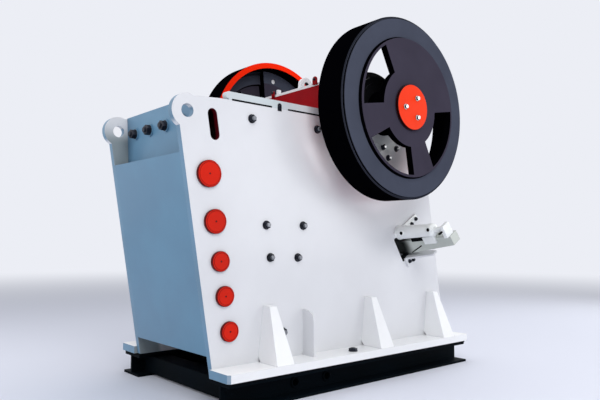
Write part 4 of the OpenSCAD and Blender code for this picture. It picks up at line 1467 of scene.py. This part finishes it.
@dataclass
class GuardFittings:
    """Red brackets, a clip and bolts on the pitman's guard, and the lifting lug's bush."""

    brackets: Sequence[Bracket] = (
        Bracket(-0.435, 3.128, 0.024, 0.062, 0.012, 0.058),
        Bracket(0.315, 3.140, 0.036, 0.060, 0.034, 0.060),
    )
    front: float = 0.092
    tab_t: float = 0.014
    tab_angles: Sequence[float] = (0.4, 0.8, 1.2, 1.57, 1.94, 2.34, 2.74)
    clip: Block = Block((0.030, 0.050, 0.058), (-0.387, 0.132, 3.160), 0.003)
    bolt: Fastener = Fastener(0.026, 0.010, 0.008, 0.004, 0.017, 0.003)
    lug: Point = (0.0, 0.216, 3.213)
    bush: Point = (0.0305, 0.0338, 0.025)  # inner radius, outer radius, half length

    def build(self) -> None:
        """Stands both brackets on the guard and lines the lifting lug."""
        tabs, bolts = Shape(), Shape()
        for tab in self.brackets:
            top = (tab.straight, tab.crown)
            outline = arched(tab.half, 0.0, tab.straight, top, self.tab_angles)
            place = Matrix.Translation((tab.x, self.front, tab.z)) @ DRAWN_FROM_FRONT
            tabs.join(Stock.slab(outline, self.tab_t, edge=0.002), place)
            at = (tab.x, self.front - self.tab_t, tab.z + tab.bolt)
            self.bolt.fit(bolts, stand(at, TO_FEED_END))
        tabs.piece("guard_brackets", Palette.crimson, "pitman", "crimson_casting")
        clip = self.clip.fit(Shape(), MACHINE)
        clip.piece("guard_clip", Palette.white, "pitman", "white_paint")
        bolts.piece("guard_bolts", Palette.black_bolt, "pitman", "black_paint")
        inner, outer, reach = self.bush
        ring = [(inner, -reach), (outer, -reach), (outer, reach), (inner, reach)]
        bush = Stock.turned(ring, steps=48, closed=True)
        Shape().join(bush, stand(self.lug, OUTWARD)).piece(
            "lifting_lug_bush", Palette.black_casting, "pitman", "dark_casting"
        )


@dataclass
class WedgeGear:
    """Cylinder that draws a setting wedge, with bracket, arm, lug, ports, dark parts and painted
    shade.

    The bracket and the lower dark strip are given along the toggle, and the rest along the
    wedge, whose X axis climbs outward from the side plate.
    """

    side: Side
    plate_x: float = 0.747
    bolts: Sequence[Flat] = ((1.282, 1.669), (1.208, 1.609), (1.167, 1.181), (1.230, 1.197))
    bolt_turn: float = 0.4
    fastener: Fastener = Fastener(0.036, 0.016, 0.011, 0.008, 0.024, 0.004)
    rise: float = math.radians(6.0)
    bracket: Block = Block((0.022, 0.440, 0.0625), (HALF_WIDTH + 0.011, 0.250, 0.152), 0.002)
    arm: Block = Block((0.045, 0.120, 0.138), (0.6725, 0.120, 0.0605), 0.004)
    lug: Block = Block((0.165, 0.036, 0.086), (0.420, 0.098, 0.002), 0.005)
    under: Block = Block((0.054, 0.232, 0.038), (0.695, 0.120, -0.149), 0.001)
    # Dark strip that paints the shadow between the barrel and the wedge's top
    above: Block = Block((0.184, 0.026, 0.046), (0.250, 0.111, 0.042), 0.002)
    groove: tuple[Flat, Flat] = ((0.085, -0.099), (0.268, -0.023))  # X and Z of its ends
    groove_size: Flat = (0.006, 0.013)
    groove_y: float = 0.1005
    barrel_start: Point = (0.022, 0.120, 0.170)
    barrel_end: Point = (0.535, 0.120, 0.148)
    barrel: Sequence[Flat] = (
        (0.0, 0.0), (0.079, 0.0), (0.082, 0.003), (0.082, 0.015), (0.079, 0.018),
        (0.0745, 0.018), (0.0745, 0.026), (0.0775, 0.029), (0.0765, 0.080), (0.068, 0.420),
        (0.068, 0.440), (0.0725, 0.443), (0.0725, 0.486), (0.069, 0.494), (0.056, 0.506),
        (0.036, 0.512), (0.036, 0.530), (0.030, 0.530), (0.030, 0.625), (0.0, 0.625),
    )
    ports: Sequence[Point] = ((0.105, -0.93, 0.37), (0.486, -0.86, 0.51))  # along, then Y, Z
    boss: Flat = (0.028, 0.088)  # radius, height
    # Dark plug that paints the shade in each port's hollow
    plug: Flat = (0.0195, 0.092)  # radius, height
    stub: Sequence[Point] = (
        (0.598, 0.075, 0.112), (0.615, 0.068, 0.120), (0.640, 0.066, 0.132),
        (0.668, 0.066, 0.146),
    )
    stub_radius: float = 0.012

    def build(self) -> None:
        """Builds the cylinder in place of the plain one, and its small parts."""
        wedge = TOGGLE @ Matrix.Translation((HALF_WIDTH, 0, 0))
        wedge = wedge @ Matrix.Rotation(-self.rise, 4, "Y")
        first, last = Vector(self.barrel_start), Vector(self.barrel_end)
        along = (last - first).normalized()
        ports = [wedge @ stand(first + along * at, (0.0, y, z)) for at, y, z in self.ports]
        gear = self.cylinder(wedge, wedge @ stand(first, along), ports).side_piece(
            self.side, "wedge_cylinder_body", Palette.cylinder, "frame", "light_grey_casting"
        )
        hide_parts(f"wedge_cylinder_{self.side.label}")
        self.dark_parts(wedge, ports).side_piece(
            self.side, "wedge_packing", Palette.rubber, "frame", "black_rubber"
        )
        nuts = Shape()
        self.fastener.fit_all(nuts, self.plate_x, self.bolts, self.bolt_turn)
        nuts.side_piece(
            self.side, "wedge_bracket_bolts", Palette.black_bolt, "frame", "black_paint"
        )

    def cylinder(self, wedge: Matrix, line: Matrix, ports: Sequence[Matrix]) -> Shape:
        """Bracket, barrel with its end caps, rod, arm, ports and the lug on the wedge.

        Args:
            wedge: Frame along the wedge.
            line: Frame whose Z axis is the barrel's.
            ports: Frame of each port, from the barrel's axis.

        Returns:
            The shape of the right side.
        """
        shape = self.bracket.fit(Shape(), TOGGLE)
        shape.join(Stock.turned(self.barrel, steps=72), line)
        self.arm.fit(shape, wedge)
        self.lug.fit(shape, wedge)
        for port in ports:
            shape.join(Stock.drum(*self.boss, sides=32, edge=0.003), port)
        return shape

    def dark_parts(self, wedge: Matrix, ports: Sequence[Matrix]) -> Shape:
        """Dark strip under the wedge, its groove and the coupling's stub, with painted shade:
        the strip under the barrel and the ports' plugs.

        Args:
            wedge: Frame along the wedge.
            ports: Frame of each port, from the barrel's axis.

        Returns:
            The shape of the right side.
        """
        shape = self.under.fit(Shape(), TOGGLE)
        self.above.fit(shape, wedge)
        (x0, z0), (x1, z1) = self.groove
        size = (math.hypot(x1 - x0, z1 - z0), *self.groove_size)
        middle = Matrix.Translation(((x0 + x1) / 2, self.groove_y, (z0 + z1) / 2))
        tilt = Matrix.Rotation(-math.atan2(z1 - z0, x1 - x0), 4, "Y")
        Block(size, (0.0, 0.0, 0.0), 0.001).fit(shape, wedge @ middle @ tilt)
        for port in ports:
            shape.join(Stock.drum(*self.plug, sides=24, edge=0.002), port)
        return shape.join(Stock.tube(self.stub, self.stub_radius, steps=4), wedge)


@dataclass(frozen=True)
class Lamp:
    """A square soft lamp.

    Attributes:
        name: Its name.
        at: Where it hangs.
        target: What it points at.
        size: Length of its side.
        power: Its power in watts.
    """

    name: str
    at: Point
    target: Point
    size: float
    power: float

    def hang(self) -> None:
        """Hangs the lamp, out of the camera's sight."""
        light = bpy.data.lights.new(self.name, "AREA")
        light.shape = "SQUARE"
        light.size = self.size
        light.energy = self.power
        thing = show(self.name, light)
        facing = (Vector(self.target) - Vector(self.at)).to_track_quat("-Z", "Y")
        thing.matrix_world = Matrix.Translation(self.at) @ facing.to_matrix().to_4x4()
        thing.visible_camera = False


@dataclass
class Studio:
    """Plain pale floor, soft lamps and a pale surrounding."""

    lamps: Sequence[Lamp] = (
        Lamp("key_lamp", (7.5, -3.0, 6.5), (0.4, 0.2, 1.4), 5.0, 350.0),
        Lamp("front_lamp", (-3.5, -8.5, 4.0), (0.0, -0.8, 1.2), 5.0, 260.0),
        Lamp("top_lamp", (0.0, 1.0, 9.0), (0.0, 0.4, 1.5), 6.0, 290.0),
        Lamp("rear_lamp", (2.0, 9.0, 4.5), (0.0, 1.0, 1.5), 5.0, 200.0),
        Lamp("side_lamp", (7.0, 4.5, 2.4), (0.8, 1.3, 1.0), 3.0, 80.0),
    )
    floor_radius: float = 60.0
    floor_colour: Colour = (222, 225, 236)
    floor_roughness: float = 0.6
    fade: Flat = (5.0, 22.0)  # distances between which the floor turns into the background
    back_colour: Colour = (236, 238, 245)
    world_strength: float = 0.48

    def build(self) -> None:
        """Lays the floor and lights the machine."""
        self.lay_floor()
        self.light_world()
        for lamp in self.lamps:
            lamp.hang()

    def lay_floor(self) -> None:
        """Makes the round floor."""
        part = bmesh.new()
        bmesh.ops.create_circle(part, cap_ends=True, segments=96, radius=self.floor_radius)
        mesh = bpy.data.meshes.new("studio_floor")
        part.to_mesh(mesh)
        part.free()
        sheet = NodeSheet(bpy.data.materials.new("studio_floor"))
        x, y, _ = sheet.xyz
        far = x.diagonal(y).ramp(*self.fade)
        mesh.materials.append(sheet.finish(
            Base_Color=sheet.mix(far, linear(self.floor_colour), BLACK),
            Roughness=self.floor_roughness, Specular_IOR_Level=0.0,
            Emission_Color=sheet.mix(far, BLACK, linear(self.back_colour)),
            Emission_Strength=1.0,
        ))
        floor = show("studio_floor", mesh)

    def light_world(self) -> None:
        """Lights from all round, and shows a pale background to the camera and in gloss."""
        world = bpy.data.worlds.new("studio")
        bpy.context.scene.world = world
        sheet = NodeSheet(world)
        rays = sheet.add("ShaderNodeLightPath").socket.node.outputs
        camera, gloss, through = (
            Signal(sheet, rays[f"Is {kind} Ray"]) for kind in ("Camera", "Glossy", "Transmission")
        )
        seen = (camera + gloss + through).ramp(0.0, 1.0)
        lit, shown = (
            sheet.add(
                "ShaderNodeBackground", None,
                {"Color": linear(self.back_colour), "Strength": strength},
            )
            for strength in (self.world_strength, 1.0)
        )
        mixed = sheet.add("ShaderNodeMixShader", None, {0: seen, 1: lit, 2: shown})
        sheet.close("ShaderNodeOutputWorld", mixed)


@dataclass
class Viewpoint:
    """The camera at the photograph's place and angle."""

    position: Point = (5.19448, -4.30929, 1.44699)
    heading: float = 0.862180
    pitch: float = 0.0625627
    roll: float = 0.0031763
    lens: float = 36.0
    sensor: float = 36.0

    def build(self) -> None:
        """Places the camera and makes it the scene's own."""
        sine, cosine = math.sin(self.heading), math.cos(self.heading)
        right = Vector((cosine, sine, 0.0))
        level = Vector((-sine, cosine, 0.0))
        up = Vector(UPWARD)
        look = level * math.cos(self.pitch) + up * math.sin(self.pitch)
        rise = up * math.cos(self.pitch) - level * math.sin(self.pitch)
        across = right * math.cos(self.roll) + rise * math.sin(self.roll)
        upright = rise * math.cos(self.roll) - right * math.sin(self.roll)
        turn = Matrix((across, upright, -look)).transposed().to_4x4()
        optics = bpy.data.cameras.new("camera")
        optics.lens = self.lens
        optics.sensor_width = self.sensor
        camera = show("camera", optics)
        camera.matrix_world = Matrix.Translation(self.position) @ turn
        bpy.context.scene.camera = camera


def paint_nodes() -> None:
    """Gives every CAD node its finish."""
    for finish, names in NODE_FINISHES.items():
        for name in names:
            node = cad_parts[name]
            if node.material_slots:
                for slot in node.material_slots:
                    slot.material = finish.material()
            else:
                node.data.materials.append(finish.material())
            LOG.info("%s: %s", name, finish.name)


def main() -> None:
    """Builds the studio, the camera and every piece."""
    logging.basicConfig(level=logging.INFO, format="%(name)s %(message)s")
    bpy.context.scene.view_settings.view_transform = "Standard"
    Studio().build()
    Viewpoint().build()
    paint_nodes()
    for side in Side:
        SidePlateBolts(side).build()
        PinCovers(side).build()
        HubCover(side).build()
        PlateFittings(side).build()
        WeldSeams(side).build()
        HousingBolts(side).build()
        WedgeGear(side).build()
    HoleLightDisc().build()
    ClampStuds().build()
    TensionRods().build()
    GuardFittings().build()


if __name__ == "__main__":
    main()
